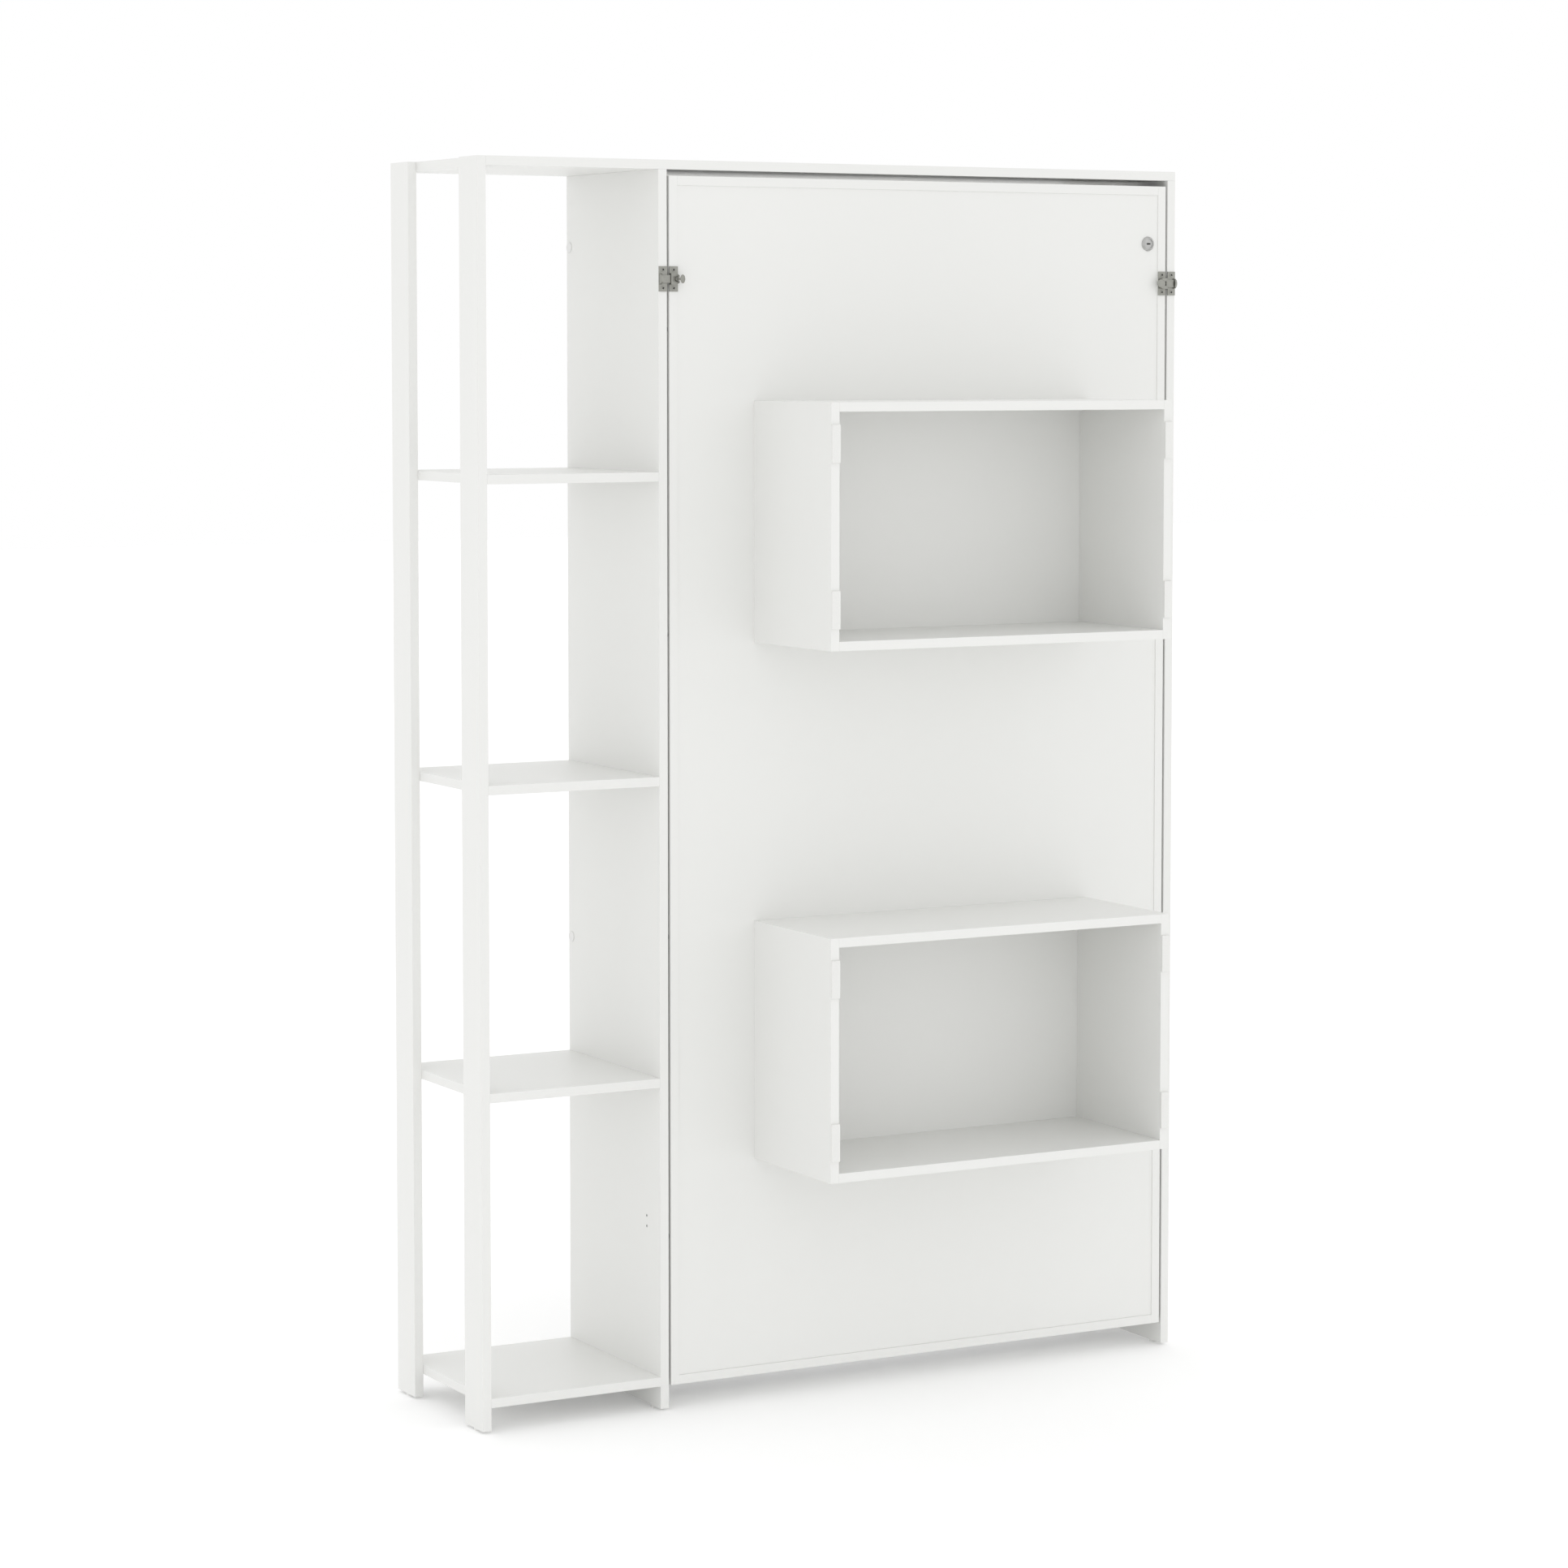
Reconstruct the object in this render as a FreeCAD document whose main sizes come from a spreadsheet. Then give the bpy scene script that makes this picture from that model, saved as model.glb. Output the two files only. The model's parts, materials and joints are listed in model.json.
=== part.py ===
import FreeCAD, Part
import os
import Sketcher

# Vertical wall bed with an open shelf unit at its left.
# +X runs to the right along the front, +Y into the wall, +Z up; millimetres.
# The origin is on the floor, at the middle of the whole outline seen from above.

doc = FreeCAD.newDocument("wall_bed")

# ---------------------------------------------------------------- driving dimensions
DIMENSIONS = [
    ("width", 1300, "cabinet width over the left posts and the right side panel"),
    ("height", 2014, "floor to the top of the top panel"),
    ("depth", 332, "cabinet depth, front edge to wall"),
    ("board", 15, "thickness of every board"),
    ("glide", 4, "height of the foot glides"),
    ("glide_radius", 7, "radius of the foot glides"),
    ("glide_inset", 34, "glide centre from the front or rear edge"),
    ("post_depth", 68, "depth of the two flat posts of the shelf unit"),
    ("shelf_bay", 301, "clear width between the posts and the divider"),
    ("first_shelf", 41, "floor to the underside of the lowest shelf and of the bed"),
    ("shelf_pitch", 487.5, "shelf to shelf"),
    ("rear_rail", 100, "height of the rails at the wall"),
    ("upper_rail_up", 1882, "floor to the middle of the upper wall rail"),
    ("lower_rail_up", 736, "floor to the middle of the lower wall rail"),
    ("cap_radius", 9, "radius of the caps over the wall rails' fittings"),
    ("cap_thick", 1.2, "thickness of those caps"),
    ("cap_inset", 1, "edge of a cap from the rear edge of the side"),
    ("top_screw", 4.5, "head radius of the screws in the top panel"),
    ("top_screw_inset", 60, "top panel screws from the front and rear edges"),
    ("stop_length", 60, "height of the stop blocks behind the closed bed"),
    ("stop_depth", 30, "depth of the stop blocks"),
    ("stop_drop", 60, "stop blocks below the top panel"),
    ("stop_play", 1, "free play between the closed bed and its stop blocks"),
    ("wall_hole_radius", 4, "radius of the holes for the wall screws"),
    ("wall_hole_reach", 400, "wall holes left and right of the bed's middle"),
    ("side_gap", 4, "gap at each side of the closed bed"),
    ("top_gap", 10, "gap above the closed bed"),
    ("rail_depth", 90, "depth of the bed frame's rails"),
    ("panel_inset", 1.5, "bed panel behind the front edges of the rails"),
    ("niche_width", 638, "outer width of a niche box"),
    ("niche_height", 390, "outer height of a niche box"),
    ("niche_depth", 252, "niche box in front of the cabinet's front plane"),
    ("niche_margin", 357.5, "bed end to the nearer niche box"),
    ("pad_thick", 4, "thickness of the floor pads on the niche boxes"),
    ("pad_length", 60, "length of a floor pad"),
    ("pad_inset", 35, "floor pad from the end of its niche box"),
    ("pivot_back", 48, "bed pivot behind the front plane"),
    ("pin_radius", 6, "radius of the pivot pin"),
    ("pin_play", 0.05, "radial running clearance on every pin"),
    ("bush_wall", 2.5, "wall of the pivot bush"),
    ("bush_flange", 1.4, "thickness of the pivot bush's flange"),
    ("flange_rim", 4.5, "rim of that flange outside the bush"),
    ("pivot_plate", 1.6, "thickness of the pivot plate"),
    ("plate_reach", 20, "pivot centre to the front or rear edge of its plate"),
    ("plate_rise", 28, "pivot centre to the top or bottom edge of its plate"),
    ("plate_chamfer", 6, "cut corners of the pivot plate"),
    ("pivot_screw", 8.6, "pivot plate screws above and below the pivot"),
    ("pivot_head", 2.4, "head radius of the pivot plate screws"),
    ("ledge_depth", 20, "slat ledges behind the bed panel"),
    ("slat_thick", 10, "slat thickness"),
    ("slat_width", 64, "slat width"),
    ("slat_margin", 8, "first and last slat from the end rails"),
    ("joint_screw", 5, "head radius of the frame's joint screws"),
    ("joint_screw_length", 45, "length of the frame's joint screws"),
    ("joint_head_proud", 0.8, "head of a rail screw outside its rail"),
    ("niche_screw_reach", 31, "niche screws from the middle of their board"),
    ("mattress_play", 0.5, "mattress clear of the slats"),
    ("mattress_thick", 130, "mattress thickness"),
    ("mattress_width", 900, "mattress width"),
    ("mattress_length", 1900, "mattress length"),
    ("mattress_round", 30, "radius of the mattress's corners and edges"),
    ("strap_width", 38, "width of the mattress straps"),
    ("strap_thick", 2, "thickness of the mattress straps"),
    ("strap_anchor", 28, "length of strap held flat on the rail"),
    ("strap_play", 1.5, "strap clear of the mattress"),
    ("buckle_length", 54, "length of a strap buckle"),
    ("buckle_thick", 9, "thickness of a strap buckle"),
    ("buckle_rim", 4, "buckle above and below its strap"),
    ("latch_up", 1825.5, "floor to the middle of the latches"),
    ("latch_plate", 40, "height of the latch and keeper plates"),
    ("plate_thick", 1.5, "thickness of the latch and keeper plates"),
    ("plate_screw", 14.6, "latch and keeper screws above and below the middle"),
    ("plate_head", 3.4, "head radius of those screws"),
    ("keeper_radius", 9, "radius of the keeper's round ear"),
    ("keeper_inset", 0.5, "ear from the outer edge of its plate"),
    ("keeper_wall", 2, "thickness of the ear beyond the tongue"),
    ("keeper_length", 3.7, "length of the ear with its lip"),
    ("mouth_height", 14.4, "height of the keeper's mouth"),
    ("latch_reach", 7.6, "latch housing in front of the front plane"),
    ("latch_height", 18, "height of the latch housing"),
    ("latch_round", 7.5, "bed's side to the axis of the housing's round end"),
    ("tongue_start", 5.2, "tongue tip from the divider's left face at rest"),
    ("tongue_end", 14, "tongue's inner end from the bed's side"),
    ("tongue_front", 5.5, "front face of the tongue in front of the front plane"),
    ("tongue_height", 12.5, "height of the latch tongue"),
    ("tongue_thick", 3, "thickness of the latch tongue"),
    ("stem_inset", 10.5, "knob stem from the bed's side"),
    ("stem_radius", 2.2, "radius of the knob stem"),
    ("stem_length", 10.3, "length of the knob stem"),
    ("knob_radius", 7, "radius of the latch knob"),
    ("knob_tilt", 34, "latch stem, degrees from straight forward"),
    ("lock_back", 35, "lock centre from the bed's right edge"),
    ("lock_drop", 97, "lock centre below the bed's head end"),
    ("lock_radius", 12.2, "radius of the lock's collar at the panel"),
    ("lock_rim", 9.3, "radius of the collar's front rim"),
    ("lock_proud", 4, "collar in front of the bed panel"),
    ("plug_recess", 1.3, "face of the plug behind the collar's rim"),
    ("barrel_wall", 1.5, "wall of the lock barrel"),
    ("barrel_back", 8, "lock barrel behind the bed panel"),
    ("plug_radius", 8, "radius of the lock plug"),
    ("spindle_radius", 4, "radius of the plug's rear end, which carries the cam"),
    ("cam_back", 8.6, "cam behind the bed panel"),
    ("cam_thick", 3, "thickness of the cam"),
    ("cam_width", 14, "width of the cam"),
    ("cam_reach", 47, "lock axis to the tip of the cam"),
    ("cam_tail", 8, "cam beyond the lock axis"),
    ("cam_room", 1.6, "slot clear of each face of the cam"),
    ("cam_swing", 5, "slot clear of the cam's tip"),
    ("nut_radius", 6.5, "radius of the cam nut"),
    ("nut_thick", 2.9, "thickness of the cam nut"),
    ("strut_side", 12.5, "gas strut axis from the cabinet side"),
    ("strut_top_back", 272, "upper strut pivot behind the front plane"),
    ("strut_top_up", 810, "upper strut pivot above the floor"),
    ("strut_foot_back", 138, "lower strut pivot behind the front plane"),
    ("strut_foot_up", 154, "lower strut pivot above the floor"),
    ("strut_radius", 9, "outer radius of the strut cylinder"),
    ("strut_body", 365, "upper strut pivot to the lower end of the cylinder"),
    ("tube_wall", 1.6, "wall of the strut cylinder"),
    ("rod_radius", 4, "radius of the strut rod"),
    ("eye_radius", 8, "outer radius of the strut's end eyes"),
    ("eye_width", 8, "width of the strut's end eyes"),
    ("stud_radius", 4, "radius of the strut's upper stud"),
    ("foot_stud", 6, "radius of the stud beside the strut's lower eye"),
    ("foot_play", 0.4, "lower eye clear of its stud, along the axis"),
    ("bracket_thick", 2.5, "thickness of the strut brackets"),
]

dims = doc.addObject("Spreadsheet::Sheet", "dims")
for row, (alias, number, note) in enumerate(DIMENSIONS, start=1):
    dims.set(f"A{row}", note)
    dims.set(f"B{row}", str(number))
    dims.setAlias(f"B{row}", alias)
doc.recompute()

# ---------------------------------------------------------------- shared places
LEFT = "(-dims.width / 2)"
FRONT = "(-(dims.depth - dims.niche_depth - dims.pad_thick) / 2)"
REAR = f"({FRONT} + dims.depth)"
BAY_FLOOR = "dims.first_shelf"
UNDER_TOP = "(dims.height - dims.board)"
DIVIDER = f"({LEFT} + dims.board + dims.shelf_bay)"
BAY_LEFT = f"({DIVIDER} + dims.board)"
BAY_RIGHT = f"({LEFT} + dims.width - dims.board)"
BAY_WIDTH = "(dims.width - 3 * dims.board - dims.shelf_bay)"
MIDDLE = f"({BAY_LEFT} + {BAY_WIDTH} / 2)"
BED_LEFT = f"({BAY_LEFT} + dims.side_gap)"
BED_RIGHT = f"({BAY_RIGHT} - dims.side_gap)"
BED_WIDTH = f"({BAY_WIDTH} - 2 * dims.side_gap)"
BED_HEAD = f"({UNDER_TOP} - dims.top_gap)"
BED_LENGTH = f"({BED_HEAD} - {BAY_FLOOR})"
INNER_WIDTH = f"({BED_WIDTH} - 2 * dims.board)"
INNER_LENGTH = f"({BED_LENGTH} - 2 * dims.board)"
PANEL_BACK = f"({FRONT} + dims.panel_inset + dims.board)"
SLAT_FRONT = f"({PANEL_BACK} + dims.ledge_depth)"
SLAT_BACK = f"({SLAT_FRONT} + dims.slat_thick)"
PIVOT_Y = f"({FRONT} + dims.pivot_back)"
PIVOT_Z = "(dims.pivot_back + dims.niche_depth + dims.pad_thick)"
LOCK_X = f"({BED_RIGHT} - dims.lock_back)"
LOCK_Z = f"({BED_HEAD} - dims.lock_drop)"

# Turns that lay a piece's own +Z along X, forward, into the wall or downward.
X_AXIS = FreeCAD.Vector(1, 0, 0)
TURN_TO_X = FreeCAD.Rotation(FreeCAD.Vector(0, 1, 0), 90)
TURN_TO_FRONT = FreeCAD.Rotation(X_AXIS, 90)
TURN_TO_BACK = FreeCAD.Rotation(X_AXIS, -90)
TURN_DOWN = FreeCAD.Rotation(X_AXIS, 180)
UPRIGHT = FreeCAD.Rotation()
OVERCUT = "1"

nodes = []


def number(expression):
    """The value of an expression of the sheet, in millimetres."""
    result = dims.evalExpression(expression)
    return float(getattr(result, "Value", result))


def bind(thing, **expressions):
    for name, expression in expressions.items():
        thing.setExpression(name, expression)


def place(thing, corner, rotation=UPRIGHT):
    thing.Placement = FreeCAD.Placement(FreeCAD.Vector(), rotation)
    for axis, expression in zip("xyz", corner):
        thing.setExpression(f"Placement.Base.{axis}", expression)
    return thing


def node(thing, label):
    """Register a finished sub-part under the name of its file."""
    thing.Label = label
    nodes.append(thing)
    return thing


def block(corner, size):
    """A board or bar, from its lowest corner and its X, Y and Z sizes."""
    thing = doc.addObject("Part::Box", "block")
    bind(thing, Length=size[0], Width=size[1], Height=size[2])
    return place(thing, corner)


def rod(start, radius, length, rotation=UPRIGHT):
    thing = doc.addObject("Part::Cylinder", "rod")
    bind(thing, Radius=radius, Height=length)
    return place(thing, start, rotation)


def compound(things):
    thing = doc.addObject("Part::Compound", "group")
    thing.Links = things
    return thing


def fused(things):
    thing = doc.addObject("Part::MultiFuse", "joined")
    thing.Shapes = things
    return thing


def cut(base, tools):
    thing = doc.addObject("Part::Cut", "cut")
    thing.Base = base
    thing.Tool = tools[0] if len(tools) == 1 else fused(tools)
    return thing


def mirrored(source):
    """The same piece on the other side of the bed's middle plane."""
    thing = doc.addObject("Part::Mirroring", "mirrored")
    thing.Source = source
    thing.Base = FreeCAD.Vector(number(MIDDLE), 0, 0)
    thing.Normal = FreeCAD.Vector(1, 0, 0)
    bind(thing, **{"Base.x": MIDDLE})
    return thing


def with_mirrors(things):
    """Those pieces and their mirror images, in one group."""
    return compound(things + [mirrored(item) for item in things])


def screw(head, radius, length, rotation):
    """A countersunk wood screw; rotation turns its point from +Z."""
    cone = doc.addObject("Part::Cone", "screw_head")
    bind(cone, Radius1=f"{radius}", Radius2=f"{radius} / 2", Height=f"{radius} / 2")
    place(cone, head, rotation)
    shank = rod(head, f"{radius} / 2", length, rotation)
    return fused([cone, shank])


# ---------------------------------------------------------------- bodies from sketches
def body_at(corner, rotation=UPRIGHT):
    return place(doc.addObject("PartDesign::Body", "body"), corner, rotation)


def sketch_on(body, role):
    sketch = body.newObject("Sketcher::SketchObject", "sketch")
    plane = next(item for item in body.Origin.OriginFeatures if item.Role == role)
    sketch.AttachmentSupport = [(plane, "")]
    sketch.MapMode = "FlatFace"
    return sketch


def fix_point(sketch, item, vertex, spot, expressions):
    """Tie a point of the sketch to expressions of the sheet."""
    for kind, value, expression in zip(("DistanceX", "DistanceY"), spot, expressions):
        rule = sketch.addConstraint(Sketcher.Constraint(kind, -1, 1, item, vertex, value))
        sketch.setExpression(f"Constraints[{rule}]", expression)


def outline(sketch, corners):
    """A closed run of lines through corners whose places are expressions."""
    spots = [(number(x), number(y)) for x, y in corners]
    first = sketch.GeometryCount
    count = len(spots)
    for index, spot in enumerate(spots):
        start = FreeCAD.Vector(*spot, 0)
        end = FreeCAD.Vector(*spots[(index + 1) % count], 0)
        sketch.addGeometry(Part.LineSegment(start, end))
    for index, corner in enumerate(corners):
        line = first + index
        following = first + (index + 1) % count
        sketch.addConstraint(Sketcher.Constraint("Coincident", line, 2, following, 1))
        fix_point(sketch, line, 1, spots[index], corner)
    return sketch


def ring(sketch, centre, radius):
    """A circle whose centre and radius are expressions."""
    spot = (number(centre[0]), number(centre[1]))
    circle = Part.Circle(FreeCAD.Vector(*spot, 0), FreeCAD.Vector(0, 0, 1), number(radius))
    item = sketch.addGeometry(circle)
    fix_point(sketch, item, 3, spot, centre)
    rule = sketch.addConstraint(Sketcher.Constraint("Radius", item, number(radius)))
    sketch.setExpression(f"Constraints[{rule}]", radius)
    return sketch


def pad(body, sketch, length):
    feature = body.newObject("PartDesign::Pad", "pad")
    feature.Profile = sketch
    feature.setExpression("Length", length)
    return feature


def turned(corner, profile, rotation=UPRIGHT):
    """A lathe part about its own Z axis, from (radius, height) corners."""
    body = body_at(corner, rotation)
    sketch = outline(sketch_on(body, "XZ_Plane"), profile)
    feature = body.newObject("PartDesign::Revolution", "turned")
    feature.Profile = sketch
    feature.ReferenceAxis = (sketch, ["V_Axis"])
    feature.Angle = 360
    return body


# ---------------------------------------------------------------- cabinet boards
SIDE_HEIGHT = f"({UNDER_TOP} - dims.glide)"
CAM_FRONT = f"({PANEL_BACK} + dims.cam_back)"


def cam_slot(start, length):
    """Room for the turning lock cam in whatever board it passes."""
    low = f"{LOCK_Z} - dims.cam_reach - dims.cam_swing"
    corner = (start, f"{CAM_FRONT} - dims.cam_room", low)
    height = "dims.cam_reach + dims.cam_tail + 2 * dims.cam_swing"
    return block(corner, (length, "dims.cam_thick + 2 * dims.cam_room", height))


POST_SIZE = ("dims.board", "dims.post_depth", "dims.height - dims.glide")
node(block((LEFT, FRONT, "dims.glide"), POST_SIZE), "front_left_post")
node(block((LEFT, f"{REAR} - dims.post_depth", "dims.glide"), POST_SIZE), "rear_left_post")

SIDE_SIZE = ("dims.board", "dims.depth", SIDE_HEIGHT)
CAM_RECESS = "10"
node(block((DIVIDER, FRONT, "dims.glide"), SIDE_SIZE), "divider_panel")
right_side = block((BAY_RIGHT, FRONT, "dims.glide"), SIDE_SIZE)
recess = cam_slot(f"{BAY_RIGHT} - {OVERCUT}", f"{CAM_RECESS} + {OVERCUT}")
node(cut(right_side, [recess]), "right_side_panel")

BESIDE_POST = f"({LEFT} + dims.board)"
top_size = ("dims.width - dims.board", "dims.depth", "dims.board")
node(block((BESIDE_POST, FRONT, UNDER_TOP), top_size), "top_panel")

SHELF_SIZE = ("dims.shelf_bay", "dims.depth", "dims.board")
for step, label in enumerate(("bottom_shelf", "lower_shelf", "middle_shelf", "upper_shelf")):
    up = f"dims.first_shelf + {step} * dims.shelf_pitch"
    node(block((BESIDE_POST, FRONT, up), SHELF_SIZE), label)


def wall_rail(foot):
    """A rail between the two sides, against the wall."""
    corner = (BAY_LEFT, f"{REAR} - dims.board", foot)
    return block(corner, (BAY_WIDTH, "dims.board", "dims.rear_rail"))


def drilled_rail(middle):
    """A wall rail about that height, with two holes for wall screws."""
    drills = []
    for side in ("-", "+"):
        x = f"{MIDDLE} {side} dims.wall_hole_reach"
        start = (x, f"{REAR} - dims.board - {OVERCUT}", middle)
        drills.append(rod(start, "dims.wall_hole_radius", f"dims.board + 2 * {OVERCUT}", TURN_TO_BACK))
    return cut(wall_rail(f"{middle} - dims.rear_rail / 2"), drills)


node(drilled_rail("dims.upper_rail_up"), "upper_wall_rail")
node(drilled_rail("dims.lower_rail_up"), "lower_wall_rail")
node(wall_rail("dims.glide"), "bottom_wall_rail")

# Blocks on the two sides, just behind the rails of the closed bed.
stop_foot = f"{UNDER_TOP} - dims.stop_drop - dims.stop_length"
stop_corner = (BAY_LEFT, f"{FRONT} + dims.rail_depth + dims.stop_play", stop_foot)
stop_size = ("dims.side_gap + dims.board", "dims.stop_depth", "dims.stop_length")
node(with_mirrors([block(stop_corner, stop_size)]), "stop_blocks")

glides = []
for x in (LEFT, DIVIDER, BAY_RIGHT):
    for y in (f"{FRONT} + dims.glide_inset", f"{REAR} - dims.glide_inset"):
        glides.append(rod((f"{x} + dims.board / 2", y, "0"), "dims.glide_radius", "dims.glide"))
node(compound(glides), "foot_glides")

# Caps over the fittings of the wall rails, on the divider's outer face.
CAP_Y = f"{REAR} - dims.cap_radius - dims.cap_inset"
caps = [
    rod((f"{DIVIDER} - dims.cap_thick", CAP_Y, up), "dims.cap_radius", "dims.cap_thick", TURN_TO_X)
    for up in ("dims.upper_rail_up", "dims.lower_rail_up")
]
node(compound(caps), "divider_caps")

TOP_SCREW_LENGTH = "50"
top_screws = []
for x in (DIVIDER, BAY_RIGHT):
    for y in (f"{FRONT} + dims.top_screw_inset", f"{REAR} - dims.top_screw_inset"):
        head = (f"{x} + dims.board / 2", y, "dims.height")
        top_screws.append(screw(head, "dims.top_screw", TOP_SCREW_LENGTH, TURN_DOWN))
node(compound(top_screws), "top_panel_screws")

# ---------------------------------------------------------------- pivots
PIVOT = (BAY_LEFT, PIVOT_Y, PIVOT_Z)
PIN_BORE = "(dims.pin_radius + dims.pin_play)"
BUSH_RADIUS = f"({PIN_BORE} + dims.bush_wall)"
PIN_SHORT = "0.5"

chamfer_y = "(dims.plate_reach - dims.plate_chamfer)"
chamfer_z = "(dims.plate_rise - dims.plate_chamfer)"
PLATE_CORNERS = [
    ("-dims.plate_reach", f"-{chamfer_z}"), (f"-{chamfer_y}", "-dims.plate_rise"),
    (chamfer_y, "-dims.plate_rise"), ("dims.plate_reach", f"-{chamfer_z}"),
    ("dims.plate_reach", chamfer_z), (chamfer_y, "dims.plate_rise"),
    (f"-{chamfer_y}", "dims.plate_rise"), ("-dims.plate_reach", chamfer_z),
]
pivot_plate = body_at(PIVOT)
pad(pivot_plate, outline(sketch_on(pivot_plate, "YZ_Plane"), PLATE_CORNERS), "dims.pivot_plate")
pin_outline = ring(sketch_on(pivot_plate, "YZ_Plane"), ("0", "0"), "dims.pin_radius")
pad(pivot_plate, pin_outline, f"dims.side_gap + dims.board - {PIN_SHORT}")
node(pivot_plate, "left_pivot_plate")
node(mirrored(pivot_plate), "right_pivot_plate")

pivot_screw_length = f"dims.board + dims.pivot_plate - {PIN_SHORT} / 5"
pivot_screws = []
for side in ("-", "+"):
    head = (DIVIDER, PIVOT_Y, f"{PIVOT_Z} {side} dims.pivot_screw")
    pivot_screws.append(screw(head, "dims.pivot_head", pivot_screw_length, TURN_TO_X))
node(with_mirrors(pivot_screws), "pivot_screws")

FLANGE_RADIUS = f"({BUSH_RADIUS} + dims.flange_rim)"
BUSH_END = "(dims.bush_flange + dims.board)"
BUSH_PROFILE = [
    (PIN_BORE, "0"), (FLANGE_RADIUS, "0"), (FLANGE_RADIUS, "dims.bush_flange"),
    (BUSH_RADIUS, "dims.bush_flange"), (BUSH_RADIUS, BUSH_END), (PIN_BORE, BUSH_END),
]
bush = turned((f"{BED_LEFT} - dims.bush_flange", PIVOT_Y, PIVOT_Z), BUSH_PROFILE, TURN_TO_X)
node(with_mirrors([bush]), "pivot_bushes")

# ---------------------------------------------------------------- bed frame
RAIL_SIZE = ("dims.board", "dims.rail_depth", BED_LENGTH)
INNER_LEFT = f"({BED_LEFT} + dims.board)"
INNER_FOOT = f"({BAY_FLOOR} + dims.board)"
RIGHT_RAIL = f"({BED_RIGHT} - dims.board)"
RIGHT_LEDGE = f"({RIGHT_RAIL} - dims.board)"
THROUGH_BOARD = f"dims.board + 2 * {OVERCUT}"


def bush_hole(rail):
    return rod((f"{rail} - {OVERCUT}", PIVOT_Y, PIVOT_Z), BUSH_RADIUS, THROUGH_BOARD, TURN_TO_X)


left_rail = block((BED_LEFT, FRONT, BAY_FLOOR), RAIL_SIZE)
node(cut(left_rail, [bush_hole(BED_LEFT)]), "left_bed_rail")
right_rail = block((RIGHT_RAIL, FRONT, BAY_FLOOR), RAIL_SIZE)
rail_slot = cam_slot(f"{RIGHT_RAIL} - {OVERCUT}", THROUGH_BOARD)
node(cut(right_rail, [bush_hole(RIGHT_RAIL), rail_slot]), "right_bed_rail")

END_SIZE = (INNER_WIDTH, "dims.rail_depth", "dims.board")
node(block((INNER_LEFT, FRONT, BAY_FLOOR), END_SIZE), "foot_rail")
node(block((INNER_LEFT, FRONT, f"{BED_HEAD} - dims.board"), END_SIZE), "head_rail")

BARREL = "(dims.plug_radius + dims.barrel_wall)"
panel_corner = (INNER_LEFT, f"{FRONT} + dims.panel_inset", INNER_FOOT)
panel = block(panel_corner, (INNER_WIDTH, "dims.board", INNER_LENGTH))
lock_hole = rod((LOCK_X, f"{FRONT} - {OVERCUT}", LOCK_Z), BARREL, f"dims.board + 5 * {OVERCUT}", TURN_TO_BACK)
node(cut(panel, [lock_hole]), "bed_front_panel")

# The right ledge is notched round the lock's barrel and slotted for its cam.
LEDGE_SIZE = ("dims.board", "dims.ledge_depth", INNER_LENGTH)
NOTCH_DEEP = "7"
NOTCH_HALF = "12"
left_ledge = block((INNER_LEFT, PANEL_BACK, INNER_FOOT), LEDGE_SIZE)
right_ledge = block((RIGHT_LEDGE, PANEL_BACK, INNER_FOOT), LEDGE_SIZE)
notch_corner = (f"{RIGHT_LEDGE} - {OVERCUT}", f"{PANEL_BACK} - {OVERCUT}", f"{LOCK_Z} - {NOTCH_HALF}")
notch_size = (f"{NOTCH_DEEP} + {OVERCUT}", f"dims.ledge_depth + 2 * {OVERCUT}", f"2 * {NOTCH_HALF}")
ledge_slot = cam_slot(f"{RIGHT_LEDGE} - {OVERCUT}", THROUGH_BOARD)
notched_ledge = cut(right_ledge, [block(notch_corner, notch_size), ledge_slot])
node(compound([left_ledge, notched_ledge]), "slat_ledges")
node(block((f"{MIDDLE} - dims.board / 2", PANEL_BACK, INNER_FOOT), LEDGE_SIZE), "centre_bearer")

SLAT_COUNT = 15
SLAT_STEP = f"(({INNER_LENGTH} - dims.slat_width - 2 * dims.slat_margin) / {SLAT_COUNT - 1})"
SLAT_SIZE = (INNER_WIDTH, "dims.slat_thick", "dims.slat_width")
slats = [
    block((INNER_LEFT, SLAT_FRONT, f"{INNER_FOOT} + dims.slat_margin + {index} * {SLAT_STEP}"), SLAT_SIZE)
    for index in range(SLAT_COUNT)
]
node(compound(slats), "slats")

# ---------------------------------------------------------------- mattress and straps
MATTRESS_FRONT = f"({SLAT_BACK} + dims.mattress_play)"
MATTRESS_BACK = f"({MATTRESS_FRONT} + dims.mattress_thick)"
mattress_foot = f"{INNER_FOOT} + ({INNER_LENGTH} - dims.mattress_length) / 2"
mattress_corner = (f"{MIDDLE} - dims.mattress_width / 2", MATTRESS_FRONT, mattress_foot)
core = block(mattress_corner, ("dims.mattress_width", "dims.mattress_thick", "dims.mattress_length"))
mattress = doc.addObject("Part::Fillet", "mattress")
mattress.Base = core
doc.recompute()
edge_round = number("dims.mattress_round")
mattress.Edges = [(edge, edge_round, edge_round) for edge in range(1, len(core.Shape.Edges) + 1)]
node(mattress, "mattress")

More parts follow.
